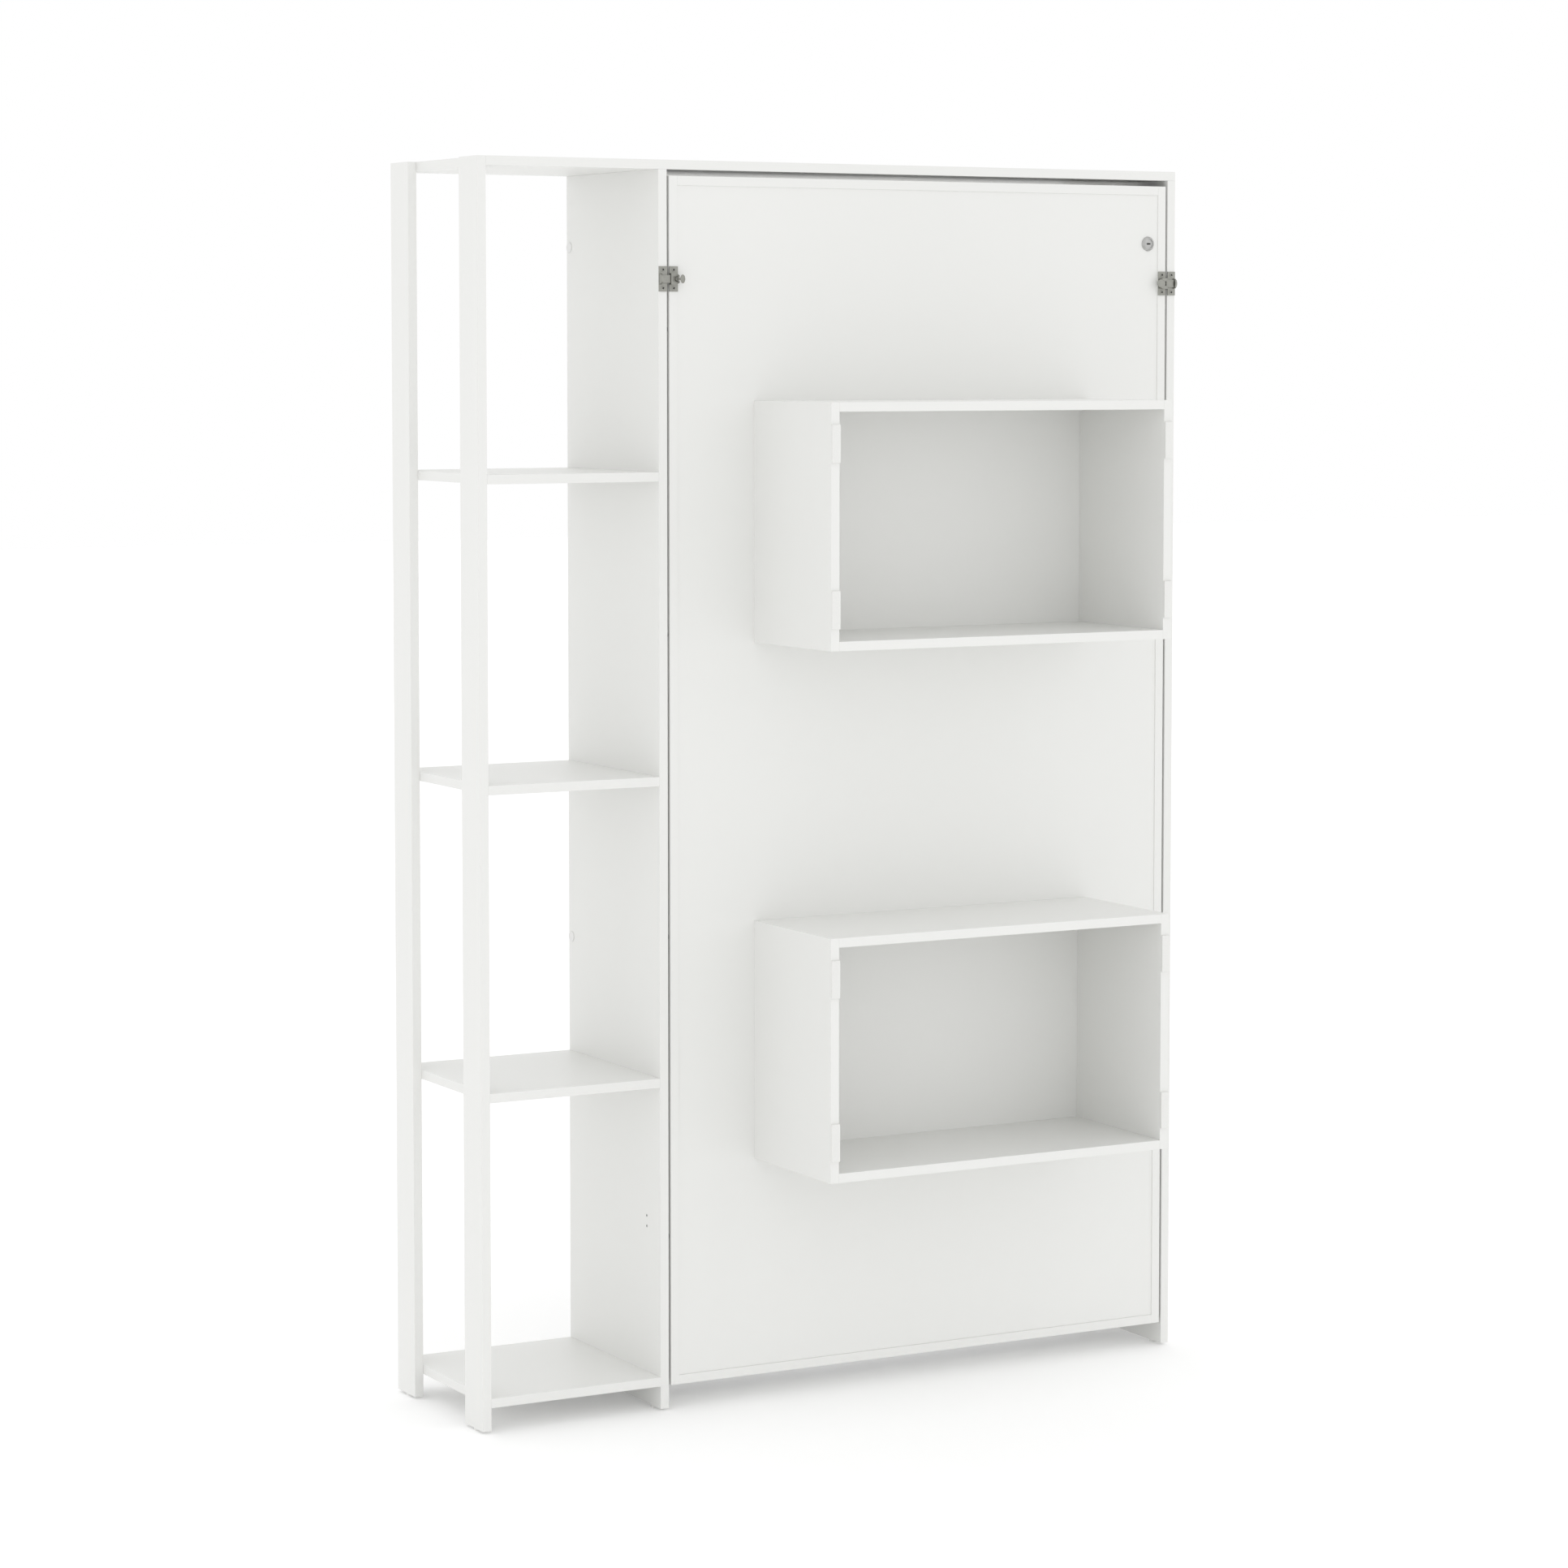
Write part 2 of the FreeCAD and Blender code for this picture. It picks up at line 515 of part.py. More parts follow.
STRAP_IN = f"({MATTRESS_BACK} + dims.strap_play)"
STRAP_OUT = f"({STRAP_IN} + dims.strap_thick)"
STRAP_START = f"({FRONT} + dims.rail_depth - dims.strap_anchor)"
LEFT_INSIDE = f"{INNER_LEFT} + dims.strap_thick"
RIGHT_INSIDE = f"{RIGHT_RAIL} - dims.strap_thick"
STRAP_CORNERS = [
    (INNER_LEFT, STRAP_START), (LEFT_INSIDE, STRAP_START), (LEFT_INSIDE, STRAP_IN),
    (RIGHT_INSIDE, STRAP_IN), (RIGHT_INSIDE, STRAP_START), (RIGHT_RAIL, STRAP_START),
    (RIGHT_RAIL, STRAP_OUT), (INNER_LEFT, STRAP_OUT),
]
BUCKLE_SIZE = ("dims.buckle_length", "dims.buckle_thick", "dims.strap_width + 2 * dims.buckle_rim")
STRAP_SHARES = (0.35, 0.72)
buckles = []
straps = []
for share in STRAP_SHARES:
    up = f"({BAY_FLOOR} + {BED_LENGTH} * {share})"
    strap = body_at(("0", "0", up))
    pad(strap, outline(sketch_on(strap, "XY_Plane"), STRAP_CORNERS), "dims.strap_width")
    straps.append(strap)
    buckle_corner = (f"{MIDDLE} - dims.buckle_length / 2", STRAP_OUT, f"{up} - dims.buckle_rim")
    buckles.append(block(buckle_corner, BUCKLE_SIZE))
node(compound(straps), "mattress_straps")
node(compound(buckles), "strap_buckles")

# ---------------------------------------------------------------- niche boxes, the legs of the open bed
NICHE_LEFT = f"({MIDDLE} - dims.niche_width / 2)"
NICHE_RIGHT = f"({MIDDLE} + dims.niche_width / 2 - dims.board)"
NICHE_FRONT = f"({FRONT} - dims.niche_depth)"
NICHE_DEEP = "(dims.niche_depth + dims.panel_inset)"
NICHE_SIDE = ("dims.board", NICHE_DEEP, "dims.niche_height")
NICHE_SHELF = ("dims.niche_width - 2 * dims.board", NICHE_DEEP, "dims.board")
NICHE_FEET = (
    ("lower_niche", f"({BAY_FLOOR} + dims.niche_margin)"),
    ("upper_niche", f"({BED_HEAD} - dims.niche_margin - dims.niche_height)"),
)
FLOOR_PAD = ("dims.board", "dims.pad_thick", "dims.pad_length")
floor_pads = []
for niche, foot in NICHE_FEET:
    for side, x in (("left_side", NICHE_LEFT), ("right_side", NICHE_RIGHT)):
        node(block((x, NICHE_FRONT, foot), NICHE_SIDE), f"{niche}_{side}")
        low_pad = f"{foot} + dims.pad_inset"
        high_pad = f"{foot} + dims.niche_height - dims.pad_inset - dims.pad_length"
        for z in (low_pad, high_pad):
            floor_pads.append(block((x, f"{NICHE_FRONT} - dims.pad_thick", z), FLOOR_PAD))
    for part, z in (("bottom", foot), ("top", f"({foot} + dims.niche_height - dims.board)")):
        node(block((f"{NICHE_LEFT} + dims.board", NICHE_FRONT, z), NICHE_SHELF), f"{niche}_{part}")
node(compound(floor_pads), "niche_floor_pads")

# ---------------------------------------------------------------- joint screws of the bed
# Four through each rail into the panel's edge, and two through the panel into each niche board.
RAIL_SCREWS = 4


def joint_screw(head, rotation):
    return screw(head, "dims.joint_screw", "dims.joint_screw_length", rotation)


rail_screws = []
for index in range(RAIL_SCREWS):
    up = f"{BAY_FLOOR} + {BED_LENGTH} * {2 * index + 1} / {2 * RAIL_SCREWS}"
    head = (f"{BED_LEFT} - dims.joint_head_proud", f"{FRONT} + dims.panel_inset + dims.board / 2", up)
    rail_screws.append(joint_screw(head, TURN_TO_X))
    rail_screws.append(mirrored(rail_screws[-1]))

niche_screws = []
for _, foot in NICHE_FEET:
    for side in ("-", "+"):
        beside_middle = f"{MIDDLE} {side} dims.niche_screw_reach"
        beside_height = f"{foot} + dims.niche_height / 2 {side} dims.niche_screw_reach"
        spots = [(beside_middle, f"{foot} + dims.board / 2")]
        spots.append((beside_middle, f"{foot} + dims.niche_height - dims.board / 2"))
        spots += [(f"{x} + dims.board / 2", beside_height) for x in (NICHE_LEFT, NICHE_RIGHT)]
        niche_screws += [joint_screw((x, PANEL_BACK, z), TURN_TO_FRONT) for x, z in spots]
node(compound(rail_screws + niche_screws), "bed_joint_screws")

# ---------------------------------------------------------------- edge latches
LATCH_SCREW_LENGTH = "18"
PROUD_HEAD = "0.3"
HALF_TONGUE = "dims.tongue_height / 2"


def latch_plate(x):
    corner = (x, f"{FRONT} - dims.plate_thick", "dims.latch_up - dims.latch_plate / 2")
    return block(corner, ("dims.board", "dims.plate_thick", "dims.latch_plate"))


def plate_screws(board):
    """The two screws of a latch or keeper plate, with those of the other side."""
    x = f"{board} + dims.board / 2"
    y = f"{FRONT} - dims.plate_thick - {PROUD_HEAD}"
    heads = [(x, y, f"dims.latch_up {side} dims.plate_screw") for side in ("-", "+")]
    length = LATCH_SCREW_LENGTH
    return with_mirrors([screw(head, "dims.plate_head", length, TURN_TO_BACK) for head in heads])


# The keeper: a plate with a round ear, whose mouth and lip take the tongue.
EAR_LEFT = f"({DIVIDER} + dims.keeper_inset)"
ear = rod((EAR_LEFT, FRONT, "dims.latch_up"), "dims.keeper_radius", "dims.keeper_length", TURN_TO_X)
inside_plate = f"{FRONT} - dims.plate_thick / 2"
rear_corner = (f"{EAR_LEFT} - {OVERCUT}", inside_plate, "dims.latch_up - dims.latch_plate / 2")
rear_size = (f"dims.keeper_length + 2 * {OVERCUT}", "2 * dims.keeper_radius", "dims.latch_plate")
mouth_low = "dims.latch_up - dims.mouth_height / 2"
mouth_corner = (f"{EAR_LEFT} + dims.keeper_wall", f"{FRONT} - dims.tongue_front - 1.2", mouth_low)
mouth = block(mouth_corner, ("dims.keeper_length", "dims.tongue_thick + 2.2", "dims.mouth_height"))
keeper = fused([latch_plate(DIVIDER), cut(ear, [block(rear_corner, rear_size), mouth])])
node(with_mirrors([keeper]), "keeper_plates")

# The latch: a plate with a round-ended housing, a channel for the tongue and a slot for the knob's stem.
CHANNEL_PLAY = "0.3"
STEM_SLOT_INSET = "2.5"
HOUSING_FRONT = f"{FRONT} - dims.latch_reach"
housing_low = "dims.latch_up - dims.latch_height / 2"
housing_size = ("dims.latch_round", "dims.latch_reach", "dims.latch_height")
housing = block((BED_LEFT, HOUSING_FRONT, housing_low), housing_size)
round_centre = (f"{BED_LEFT} + dims.latch_round", HOUSING_FRONT, "dims.latch_up")
round_deep = "dims.latch_reach - dims.plate_thick / 2"
round_end = rod(round_centre, "dims.latch_height / 2", round_deep, TURN_TO_BACK)
gap_corner = (f"{BED_LEFT} - dims.latch_round", HOUSING_FRONT, housing_low)
over_gap = block(gap_corner, housing_size)
channel_low = f"dims.latch_up - {HALF_TONGUE} - {CHANNEL_PLAY}"
channel_corner = (f"{BED_LEFT} - {OVERCUT}", f"{FRONT} - dims.tongue_front - 0.4", channel_low)
channel_height = f"dims.tongue_height + 2 * {CHANNEL_PLAY}"
channel_length = f"{THROUGH_BOARD} + dims.latch_round"
channel = block(channel_corner, (channel_length, "dims.tongue_thick + 0.8", channel_height))
stem_corner = (f"{BED_LEFT} + {STEM_SLOT_INSET}", f"{FRONT} - 9", "dims.latch_up - 3.8")
stem_slot = block(stem_corner, ("dims.board", "4", "7.6"))
latch = cut(fused([latch_plate(BED_LEFT), housing, round_end]), [channel, stem_slot, over_gap])
node(latch, "left_latch_body")
node(mirrored(latch), "right_latch_body")
node(plate_screws(DIVIDER), "keeper_screws")
node(plate_screws(BED_LEFT), "latch_screws")

STEM_ROOT = (f"{BED_LEFT} + dims.stem_inset", f"{FRONT} - 4", "dims.latch_up")
STEM_TURN = FreeCAD.Rotation(FreeCAD.Vector(0, 0, 1), number("dims.knob_tilt")) * TURN_TO_FRONT
BOSS_PROFILE = [("0", "0"), ("3.4", "0"), ("3.4", "3.8"), ("2.5", "5.4"), ("0", "5.4")]
TONGUE_LEFT = f"({DIVIDER} + dims.tongue_start)"
tongue_corner = (TONGUE_LEFT, f"{FRONT} - dims.tongue_front", f"dims.latch_up - {HALF_TONGUE}")
tongue_length = f"{BED_LEFT} + dims.tongue_end - {TONGUE_LEFT}"
tongue = block(tongue_corner, (tongue_length, "dims.tongue_thick", "dims.tongue_height"))
boss = turned(STEM_ROOT, BOSS_PROFILE, TURN_TO_FRONT)
stem = rod(STEM_ROOT, "dims.stem_radius", "dims.stem_length", STEM_TURN)
left_tongue = node(fused([tongue, boss, stem]), "left_latch_tongue")
node(mirrored(left_tongue), "right_latch_tongue")

KNOB_PROFILE = [
    ("0", "0"), ("3.2", "0"), ("dims.knob_radius", "1.2"), ("dims.knob_radius", "2.2"),
    ("dims.knob_radius - 1", "3"), ("0", "3.3"),
]
knob_x = f"{STEM_ROOT[0]} + dims.stem_length * sin(dims.knob_tilt)"
knob_y = f"{STEM_ROOT[1]} - dims.stem_length * cos(dims.knob_tilt)"
knob = node(turned((knob_x, knob_y, "dims.latch_up"), KNOB_PROFILE, STEM_TURN), "left_latch_knob")
node(mirrored(knob), "right_latch_knob")

# ---------------------------------------------------------------- cam lock
LOCK = (LOCK_X, f"{FRONT} + dims.panel_inset - dims.lock_proud", LOCK_Z)
BARREL_END = "(dims.lock_proud + dims.board + dims.barrel_back)"
PLUG_BORE = "(dims.plug_radius + dims.pin_play)"
HOUSING_PROFILE = [
    (PLUG_BORE, "0"), ("dims.lock_rim", "0"), ("dims.lock_radius", "dims.lock_proud - 0.8"),
    ("dims.lock_radius", "dims.lock_proud"), (BARREL, "dims.lock_proud"),
    (BARREL, BARREL_END), (PLUG_BORE, BARREL_END),
]
node(turned(LOCK, HOUSING_PROFILE, TURN_TO_BACK), "lock_housing")

PLUG_END = f"({BARREL_END} + 0.5)"
SPINDLE_END = f"({BARREL_END} + 7)"
PLUG_PROFILE = [
    ("0", "dims.plug_recess"), ("dims.plug_radius", "dims.plug_recess"),
    ("dims.plug_radius", PLUG_END), ("dims.spindle_radius", PLUG_END),
    ("dims.spindle_radius", SPINDLE_END), ("0", SPINDLE_END),
]
KEYWAY_SIZE = ("8", "14", "1.7")
KEYWAY_FRONT = f"{FRONT} - 5"
keyway_corner = (f"{LOCK_X} - {KEYWAY_SIZE[0]} / 2", KEYWAY_FRONT, f"{LOCK_Z} - {KEYWAY_SIZE[2]} / 2")
wards = [
    rod((f"{LOCK_X} + {across}", KEYWAY_FRONT, LOCK_Z), radius, KEYWAY_SIZE[1], TURN_TO_BACK)
    for across, radius in (("-1.2", "1.8"), ("2.6", "1.4"))
]
plug = turned(LOCK, PLUG_PROFILE, TURN_TO_BACK)
node(cut(plug, [block(keyway_corner, KEYWAY_SIZE), *wards]), "lock_plug")


def spindle_hole(front, thickness):
    """The bore through a piece on the plug's spindle."""
    length = f"{thickness} + 2 * {OVERCUT}"
    radius = "dims.spindle_radius + dims.pin_play"
    return rod((LOCK_X, f"{front} - {OVERCUT}", LOCK_Z), radius, length, TURN_TO_BACK)


cam_size = ("dims.cam_width", "dims.cam_thick", "dims.cam_reach + dims.cam_tail")
cam_blade = block((f"{LOCK_X} - dims.cam_width / 2", CAM_FRONT, f"{LOCK_Z} - dims.cam_reach"), cam_size)
node(cut(cam_blade, [spindle_hole(CAM_FRONT, "dims.cam_thick")]), "lock_cam")
CAM_REAR = f"{CAM_FRONT} + dims.cam_thick"
nut = rod((LOCK_X, CAM_REAR, LOCK_Z), "dims.nut_radius", "dims.nut_thick", TURN_TO_BACK)
node(cut(nut, [spindle_hole(CAM_REAR, "dims.nut_thick")]), "cam_nut")

# ---------------------------------------------------------------- gas struts
STRUT_X = f"({BAY_LEFT} + dims.strut_side)"
STRUT_TOP = (STRUT_X, f"({FRONT} + dims.strut_top_back)", "dims.strut_top_up")
STRUT_FOOT = (STRUT_X, f"({FRONT} + dims.strut_foot_back)", "dims.strut_foot_up")
RUN_Y = "(dims.strut_top_back - dims.strut_foot_back)"
RUN_Z = "(dims.strut_top_up - dims.strut_foot_up)"
STRUT_LENGTH = f"sqrt({RUN_Y} * {RUN_Y} + {RUN_Z} * {RUN_Z})"
STRUT_TURN = FreeCAD.Rotation(X_AXIS, number(f"atan2({RUN_Y}; -{RUN_Z})"))
EYE_END = "(dims.eye_radius - 1.5)"


def eye(end):
    """The ring at a strut's end and the bore through it, both along X."""
    start = f"{end[0]} - dims.eye_width / 2"
    rim = rod((start, end[1], end[2]), "dims.eye_radius", "dims.eye_width", TURN_TO_X)
    bore_start = (f"{start} - {OVERCUT}", end[1], end[2])
    bore = rod(bore_start, "dims.stud_radius + dims.pin_play", f"dims.eye_width + 2 * {OVERCUT}", TURN_TO_X)
    return rim, bore


# The cylinder, from its eye down over the neck, the tube and the gland at its lower end.
NECK_RADIUS = "4.5"
NECK_END = "20"
TUBE_FLOOR = "30"
GLAND = "10"
TUBE_INNER = "(dims.strut_radius - dims.tube_wall)"
ROD_BORE = "dims.rod_radius + 0.3"
CYLINDER_PROFILE = [
    ("0", EYE_END), (NECK_RADIUS, EYE_END), (NECK_RADIUS, NECK_END),
    ("dims.strut_radius - 1", NECK_END), ("dims.strut_radius", f"{NECK_END} + 1"),
    ("dims.strut_radius", "dims.strut_body - 1"), ("dims.strut_radius - 1", "dims.strut_body"),
    (ROD_BORE, "dims.strut_body"), (ROD_BORE, f"dims.strut_body - {GLAND}"),
    (TUBE_INNER, f"dims.strut_body - {GLAND}"), (TUBE_INNER, TUBE_FLOOR), ("0", TUBE_FLOOR),
]
rim_top, bore_top = eye(STRUT_TOP)
cylinder = cut(fused([turned(STRUT_TOP, CYLINDER_PROFILE, STRUT_TURN), rim_top]), [bore_top])
node(cylinder, "left_strut_cylinder")
node(mirrored(cylinder), "right_strut_cylinder")

# The rod, from its piston inside the tube down to the lower eye.
PISTON_RADIUS = f"({TUBE_INNER} - 0.3)"
PISTON_TOP = "(dims.strut_body - 25)"
PISTON_FOOT = "(dims.strut_body - 13)"
ROD_END = f"({STRUT_LENGTH} - {EYE_END})"
ROD_PROFILE = [
    ("0", PISTON_TOP), (PISTON_RADIUS, PISTON_TOP), (PISTON_RADIUS, PISTON_FOOT),
    ("dims.rod_radius", PISTON_FOOT), ("dims.rod_radius", ROD_END), ("0", ROD_END),
]
rim_foot, bore_foot = eye(STRUT_FOOT)
strut_rod = cut(fused([turned(STRUT_TOP, ROD_PROFILE, STRUT_TURN), rim_foot]), [bore_foot])
node(strut_rod, "left_strut_rod")
node(mirrored(strut_rod), "right_strut_rod")

# The brackets: a plate on each cabinet side with a stud for the upper eye, and a plate
# on each bed rail whose stud ends just beside the lower eye.
TOP_PLATE = ("dims.bracket_thick", "40", "60")
STUD_PAST_EYE = "6"
top_corner = (BAY_LEFT, f"{STRUT_TOP[1]} - {TOP_PLATE[1]} / 2", f"{STRUT_TOP[2]} - {TOP_PLATE[2]} / 2")
top_stud_length = f"dims.strut_side + {STUD_PAST_EYE}"
top_stud = rod((BAY_LEFT, STRUT_TOP[1], STRUT_TOP[2]), "dims.stud_radius", top_stud_length, TURN_TO_X)
node(with_mirrors([fused([block(top_corner, TOP_PLATE), top_stud])]), "cabinet_strut_brackets")

FOOT_PLATE_HEIGHT = "50"
FOOT_PLATE_START = f"({FRONT} + 52)"
FOOT_PLATE_PAST = "12"
foot_length = f"{STRUT_FOOT[1]} - {FOOT_PLATE_START} + {FOOT_PLATE_PAST}"
foot_corner = (INNER_LEFT, FOOT_PLATE_START, f"{STRUT_FOOT[2]} - {FOOT_PLATE_HEIGHT} / 2")
foot_plate = block(foot_corner, ("dims.bracket_thick", foot_length, FOOT_PLATE_HEIGHT))
stud_tip = f"({STRUT_X} + dims.eye_width / 2 + dims.foot_play)"
foot_stud_length = f"{INNER_LEFT} - {stud_tip} + {OVERCUT}"
foot_stud = rod((stud_tip, STRUT_FOOT[1], STRUT_FOOT[2]), "dims.foot_stud", foot_stud_length, TURN_TO_X)
node(with_mirrors([fused([foot_plate, foot_stud])]), "bed_strut_brackets")

# ---------------------------------------------------------------- checks and export
doc.recompute()
faults = [item.Name for item in doc.Objects if "Invalid" in item.State or "Error" in item.State]
faults += [item.Label for item in nodes if item.Shape.isNull() or not item.Shape.isValid()]
if faults:
    raise RuntimeError(f"failed objects: {faults}")
os.makedirs("parts", exist_ok=True)
for item in nodes:
    item.Shape.exportStep(f"parts/{item.Label}.step")
print(f"{len(nodes)} sub-parts")
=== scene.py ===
import json
import math

import bmesh
import bpy
from mathutils import Matrix, Vector, noise
from mathutils.bvhtree import BVHTree


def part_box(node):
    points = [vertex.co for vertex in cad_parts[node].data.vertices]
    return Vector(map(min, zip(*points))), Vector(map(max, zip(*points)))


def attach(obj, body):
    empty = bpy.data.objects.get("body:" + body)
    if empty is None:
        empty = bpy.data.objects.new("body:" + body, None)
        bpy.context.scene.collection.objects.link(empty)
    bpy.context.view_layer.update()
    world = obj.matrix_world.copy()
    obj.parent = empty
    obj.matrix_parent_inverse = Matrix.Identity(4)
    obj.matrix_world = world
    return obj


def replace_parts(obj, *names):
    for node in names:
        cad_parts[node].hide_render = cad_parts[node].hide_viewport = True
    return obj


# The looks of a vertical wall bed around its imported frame. Metres; +X right, +Y into the wall, +Z up.
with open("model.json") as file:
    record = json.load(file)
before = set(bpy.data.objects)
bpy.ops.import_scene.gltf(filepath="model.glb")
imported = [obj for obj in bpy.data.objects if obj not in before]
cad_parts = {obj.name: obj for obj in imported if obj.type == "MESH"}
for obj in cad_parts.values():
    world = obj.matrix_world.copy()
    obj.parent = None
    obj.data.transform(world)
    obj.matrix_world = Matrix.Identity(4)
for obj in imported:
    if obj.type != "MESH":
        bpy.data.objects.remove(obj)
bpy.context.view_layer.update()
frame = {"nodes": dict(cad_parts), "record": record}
nodes = frame["nodes"]

MM = 0.001
CABINET, BED = "cabinet", "bed"

# ---------------------------------------------------------------- camera
# Its spot in metres, its turn to the right and its tilt down in degrees, its sensor and lens in mm.
CAMERA_SPOT = (-3.4827, -6.1734, 1.7073)
CAMERA_TURN = 28.823
CAMERA_TILT = 4.035
CAMERA_SENSOR = 36
CAMERA_LENS = 99.3
CAMERA_SHIFT = -0.08


def make_camera():
    """A long lens, left of the middle and near the top of the cabinet, turned to the right."""
    data = bpy.data.cameras.new("camera")
    data.sensor_width = CAMERA_SENSOR
    data.lens = CAMERA_LENS
    data.shift_y = CAMERA_SHIFT
    camera = bpy.data.objects.new("camera", data)
    camera.location = CAMERA_SPOT
    camera.rotation_euler = (math.radians(90 - CAMERA_TILT), 0, math.radians(-CAMERA_TURN))
    bpy.context.scene.collection.objects.link(camera)
    bpy.context.scene.camera = camera


# ---------------------------------------------------------------- materials
class Finish:
    """A material, and short ways to add to its node tree."""

    def __init__(self, name, colour, roughness):
        self.material = bpy.data.materials.new(name)
        self.material.use_nodes = True
        self.tree = self.material.node_tree
        self.shader = self.tree.nodes["Principled BSDF"]
        self.set("Base Color", (*colour, 1))
        self.set("Roughness", roughness)
        self.place = self.add("TexCoord").outputs["Object"]

    def set(self, socket, value):
        """Set one of the shader's sockets."""
        self.feed(self.shader.inputs[socket], value)

    def feed(self, socket, value):
        """Give any socket a plain value or another node's output."""
        if isinstance(value, bpy.types.NodeSocket):
            self.tree.links.new(value, socket)
        else:
            socket.default_value = value

    def add(self, kind, **settings):
        """A new node of that kind, with its settings."""
        node = self.tree.nodes.new("ShaderNode" + kind)
        for name, value in settings.items():
            setattr(node, name, value)
        return node

    def math(self, operation, *values):
        """The result of a sum on plain values or other nodes' outputs."""
        node = self.add("Math", operation=operation)
        for socket, value in zip(node.inputs, values):
            self.feed(socket, value)
        return node.outputs[0]

    def axis(self, letter, vector=None):
        """One coordinate of a vector: of the place on the object, in metres, if no other is given."""
        split = self.add("SeparateXYZ")
        self.feed(split.inputs[0], vector or self.place)
        return split.outputs[letter]

    def stretched(self, x, y, z):
        """The place on the object times a factor for each axis, to draw noise out into streaks."""
        node = self.add("VectorMath", operation="MULTIPLY")
        self.feed(node.inputs[0], self.place)
        node.inputs[1].default_value = (x, y, z)
        return node.outputs[0]

    def noise(self, scale, detail, place=None):
        """Cloudy noise from 0 to 1, scale cells to the metre."""
        node = self.add("TexNoise")
        self.feed(node.inputs["Vector"], place or self.place)
        node.inputs["Scale"].default_value = scale
        node.inputs["Detail"].default_value = detail
        return node.outputs[0]

    def waves(self, coordinate, pitch):
        """A sine from -1 to 1 with one crest every pitch metres."""
        return self.math("SINE", self.math("MULTIPLY", coordinate, 2 * math.pi / pitch))

    def between(self, value, low, high, start=0.0, end=1.0):
        """The value's run from start to end, laid from low to high."""
        node = self.add("MapRange")
        for socket, number in zip(node.inputs, (value, start, end, low, high)):
            self.feed(socket, number)
        return node.outputs[0]

    def blend(self, factor, first, second):
        """A colour between two colours, either of which may come from other nodes."""
        node = self.add("Mix", data_type="RGBA")
        self.feed(node.inputs[0], factor)
        for label, colour in (("A", first), ("B", second)):
            socket = [item for item in node.inputs if item.name == label and item.type == "RGBA"][0]
            self.feed(socket, colour if isinstance(colour, bpy.types.NodeSocket) else (*colour, 1))
        return [item for item in node.outputs if item.type == "RGBA"][0]

    def bump(self, height, distance, strength):
        """Raise the surface by a height from 0 to 1 times a distance; returns the finished material."""
        node = self.add("Bump")
        node.inputs["Strength"].default_value = strength
        node.inputs["Distance"].default_value = distance
        self.feed(node.inputs["Height"], height)
        self.set("Normal", node.outputs["Normal"])
        return self.material


def shade(colour, factor):
    """A colour made lighter or darker."""
    return tuple(min(1.0, part * factor) for part in colour)


WHITE = (0.815, 0.817, 0.798)
FLOOR_GLOW = 0.1
# The pitch of each pattern that a material draws.
PLY = 2.86 * MM
WALE = 1.6 * MM
COURSE = 1.4 * MM
TAPE_TWILL = 1.5 * MM
STRAP_TWILL = 2.0 * MM
STRAP_RIB = 5.0 * MM

# The mattress's seams, drawn by its material and sunk into its mesh.
TAPE_SETBACK = 30 * MM
SEAM_LINE = 1.6 * MM
STITCH_PITCH = 5.5 * MM
QUILT = 118 * MM
QUILT_BORDER = 62 * MM


def melamine():
    """Satin white facing with a fine pearl grain and a faint cloudiness."""
    finish = Finish("board", WHITE, 0.42)
    cloud = finish.noise(3.0, 3.0)
    fleck = finish.noise(900.0, 1.0)
    tone = finish.math("MULTIPLY_ADD", fleck, 0.3, finish.math("MULTIPLY", cloud, 0.7))
    finish.set("Base Color", finish.blend(tone, shade(WHITE, 0.985), shade(WHITE, 1.015)))
    finish.set("Roughness", finish.between(fleck, 0.36, 0.48))
    return finish.bump(finish.noise(1400.0, 2.0), 0.05 * MM, 0.35)


def edge_band():
    """The rounded arris of the edge band: a little smoother and cooler than the faces."""
    colour = shade(WHITE, 0.99)
    finish = Finish("edge_band", colour, 0.3)
    fleck = finish.noise(600.0, 2.0)
    finish.set("Base Color", finish.blend(fleck, shade(colour, 0.97), shade(colour, 1.01)))
    finish.set("Roughness", finish.between(fleck, 0.26, 0.38))
    return finish.bump(finish.noise(500.0, 2.0), 0.03 * MM, 0.3)


def moulded(name, colour, roughness):
    """Moulded plastic with a fine spark-eroded grain."""
    finish = Finish(name, colour, roughness)
    fleck = finish.noise(700.0, 3.0)
    finish.set("Base Color", finish.blend(fleck, shade(colour, 0.94), shade(colour, 1.05)))
    finish.set("Roughness", finish.between(fleck, roughness - 0.06, roughness + 0.08))
    return finish.bump(fleck, 0.08 * MM, 0.4)


def plated(name, colour, roughness):
    """Plated metal: a satin, slightly brushed skin with darker, duller patches."""
    finish = Finish(name, colour, roughness)
    finish.set("Metallic", 1.0)
    patch = finish.noise(140.0, 4.0)
    strokes = finish.noise(1.0, 2.0, finish.stretched(260.0, 260.0, 2600.0))
    finish.set("Base Color", finish.blend(patch, shade(colour, 0.82), shade(colour, 1.12)))
    wear = finish.math("MULTIPLY_ADD", strokes, 0.5, finish.math("MULTIPLY", patch, 0.5))
    finish.set("Roughness", finish.between(wear, roughness - 0.08, roughness + 0.12))
    return finish.bump(strokes, 0.02 * MM, 0.5)


